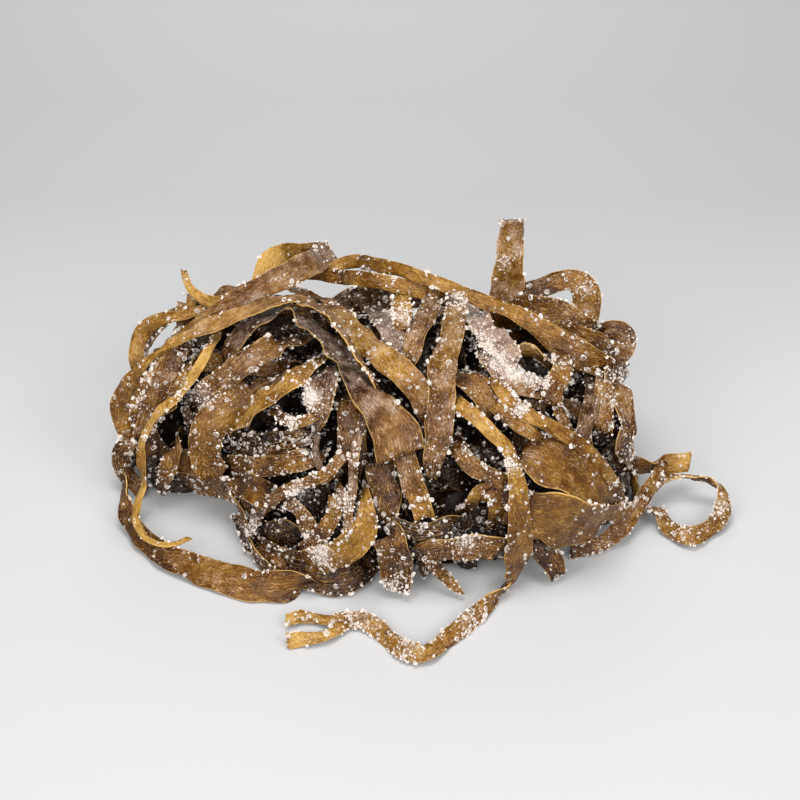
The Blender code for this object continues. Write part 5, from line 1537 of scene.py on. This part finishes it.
# %% [markdown]
# ## Salt
#
# Halite is clear with an index of 1.54. A grain that sits on wet leather shows the brown through its middle
# and is white at its broken border, and some are cloudy all over. The white border is partly cloudy broken
# salt and partly a painted reflection of the light thrown back inside a clear crystal's edges. Ray-traced
# glass of this size would only turn grey, so the stored border says how far a crystal covers what is under
# it.

# %% Salt crystals
HALITE_INDEX = 1.544


def halite():
    """Coarse sea salt: glossy broken crystals, clear in the middle and cloudy at their borders, whose white
    also paints the light reflected inside them.
    """
    material, tree, shader = bare_material("sea_salt_crystal")
    clear, border = (
        add(tree, "Attribute", {"attribute_name": name}).outputs["Fac"] for name in ("clear", "border")
    )
    place = add(tree, "TexCoord").outputs["Object"]
    cracks = add(tree, "TexNoise", Vector=place, Scale=per_mm(0.6), Detail=3.0).outputs[0]
    middle = add(tree, "MapRange", i0=clear, i1=0.0, i2=1.0, i3=0.5, i4=0.0).outputs[0]
    # The white border: partly cloudy salt, partly a painted reflection of light caught inside the crystal.
    edge = add(tree, "MapRange", i0=border, i1=0.0, i2=0.8, i3=0.0, i4=0.88).outputs[0]
    covered = add(tree, "Math", {"operation": "MAXIMUM"}, i0=middle, i1=edge).outputs[0]
    cracked = sum_of(tree, covered, cracks, 1.4)
    alpha = add(tree, "Clamp", Value=cracked, Min=0.08, Max=1.0).outputs[0]
    tree.links.new(alpha, shader.inputs["Alpha"])
    shader.inputs["Base Color"].default_value = linear("#F1E6DC")
    shader.inputs["Roughness"].default_value = 0.15
    shader.inputs["IOR"].default_value = HALITE_INDEX
    return material


crystal = halite()
for piece in salt_pieces:
    piece.data.materials.append(crystal)
print("salt with an index of", HALITE_INDEX)

# %% [markdown]
# ## Table and light
#
# A pale table, with painted light and shade that change its brightness a little from the front to the back,
# and soft light from big panels: one above, and one at the front and on each side of it. They are large
# beside the heap, so that its shadows stay soft and short. A weak one behind fills the far side.

# %% Table
TABLE_SIDE = 3000.0
# Painted light and shade on the table, from the front (0) to the back (1).
TABLE_PAINTED_LIGHT = {
    0.0: "#B8B8B8", 0.2: "#BBBBBB", 0.4: "#BFBFBF", 0.65: "#B6B6B6", 0.82: "#BCBCBC", 1.0: "#C7C7C7",
}


def pale_table():
    """Matt white laminate, with painted light and shade that change its brightness a little from the front
    to the back.
    """
    material, tree, shader = bare_material("pale_table")
    place = add(tree, "TexCoord").outputs["Object"]
    away = add(tree, "SeparateXYZ", i0=place).outputs[1]
    share = add(tree, "MapRange", i0=away, i1=-0.15, i2=0.35).outputs[0]
    tree.links.new(ramped(tree, share, TABLE_PAINTED_LIGHT), shader.inputs["Base Color"])
    shader.inputs["Roughness"].default_value = 0.65
    return material


corners = np.array([[-1, -1, 0], [1, -1, 0], [1, 1, 0], [-1, 1, 0]]) * TABLE_SIDE / 2
table = mesh_piece("table", corners, np.array([[0, 1, 2, 3]]))
table.data.materials.append(pale_table())
print("a table of", TABLE_SIDE / 1000, "m")

# %% Lights
LIT_PLACE = Vector((0.0, 0.0, 20.0)) * MM
PANELS = {
    "panel_above": {"at": (-10, -90, 650), "side": 320, "watts": 2.9},
    "panel_left": {"at": (-380, -540, 440), "side": 400, "watts": 2.9},
    "panel_front": {"at": (20, -640, 400), "side": 420, "watts": 2.2},
    "panel_back": {"at": (-40, 560, 420), "side": 300, "watts": 0.8},
    "panel_right": {"at": (460, -420, 480), "side": 400, "watts": 2.7},
}
for name, panel in PANELS.items():
    light = bpy.data.lights.new(name, "AREA")
    light.size = panel["side"] * MM
    light.energy = panel["watts"]
    lamp = bpy.data.objects.new(name, light)
    lamp.location = Vector(panel["at"]) * MM
    lamp.rotation_euler = (LIT_PLACE - lamp.location).to_track_quat("-Z", "Y").to_euler()
    bpy.context.scene.collection.objects.link(lamp)

room = bpy.data.worlds.new("room")
room.use_nodes = True
background = room.node_tree.nodes["Background"]
background.inputs["Color"].default_value = linear("#F4F4F6")
background.inputs["Strength"].default_value = 0.23
bpy.context.scene.world = room
bpy.context.scene.view_settings.view_transform = "Standard"
print(len(PANELS), "soft panels and a pale room")

# %% [markdown]
# ## Hand over
#
# Every piece rides on the one body and stands for the solid, which is hidden and takes the leather.

# %% Hand over
for piece in [*strap_pieces, packed_middle, *salt_pieces]:
    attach(piece, "root")
    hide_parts(NODE)
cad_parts[NODE].data.materials.clear()
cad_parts[NODE].data.materials.append(leather)
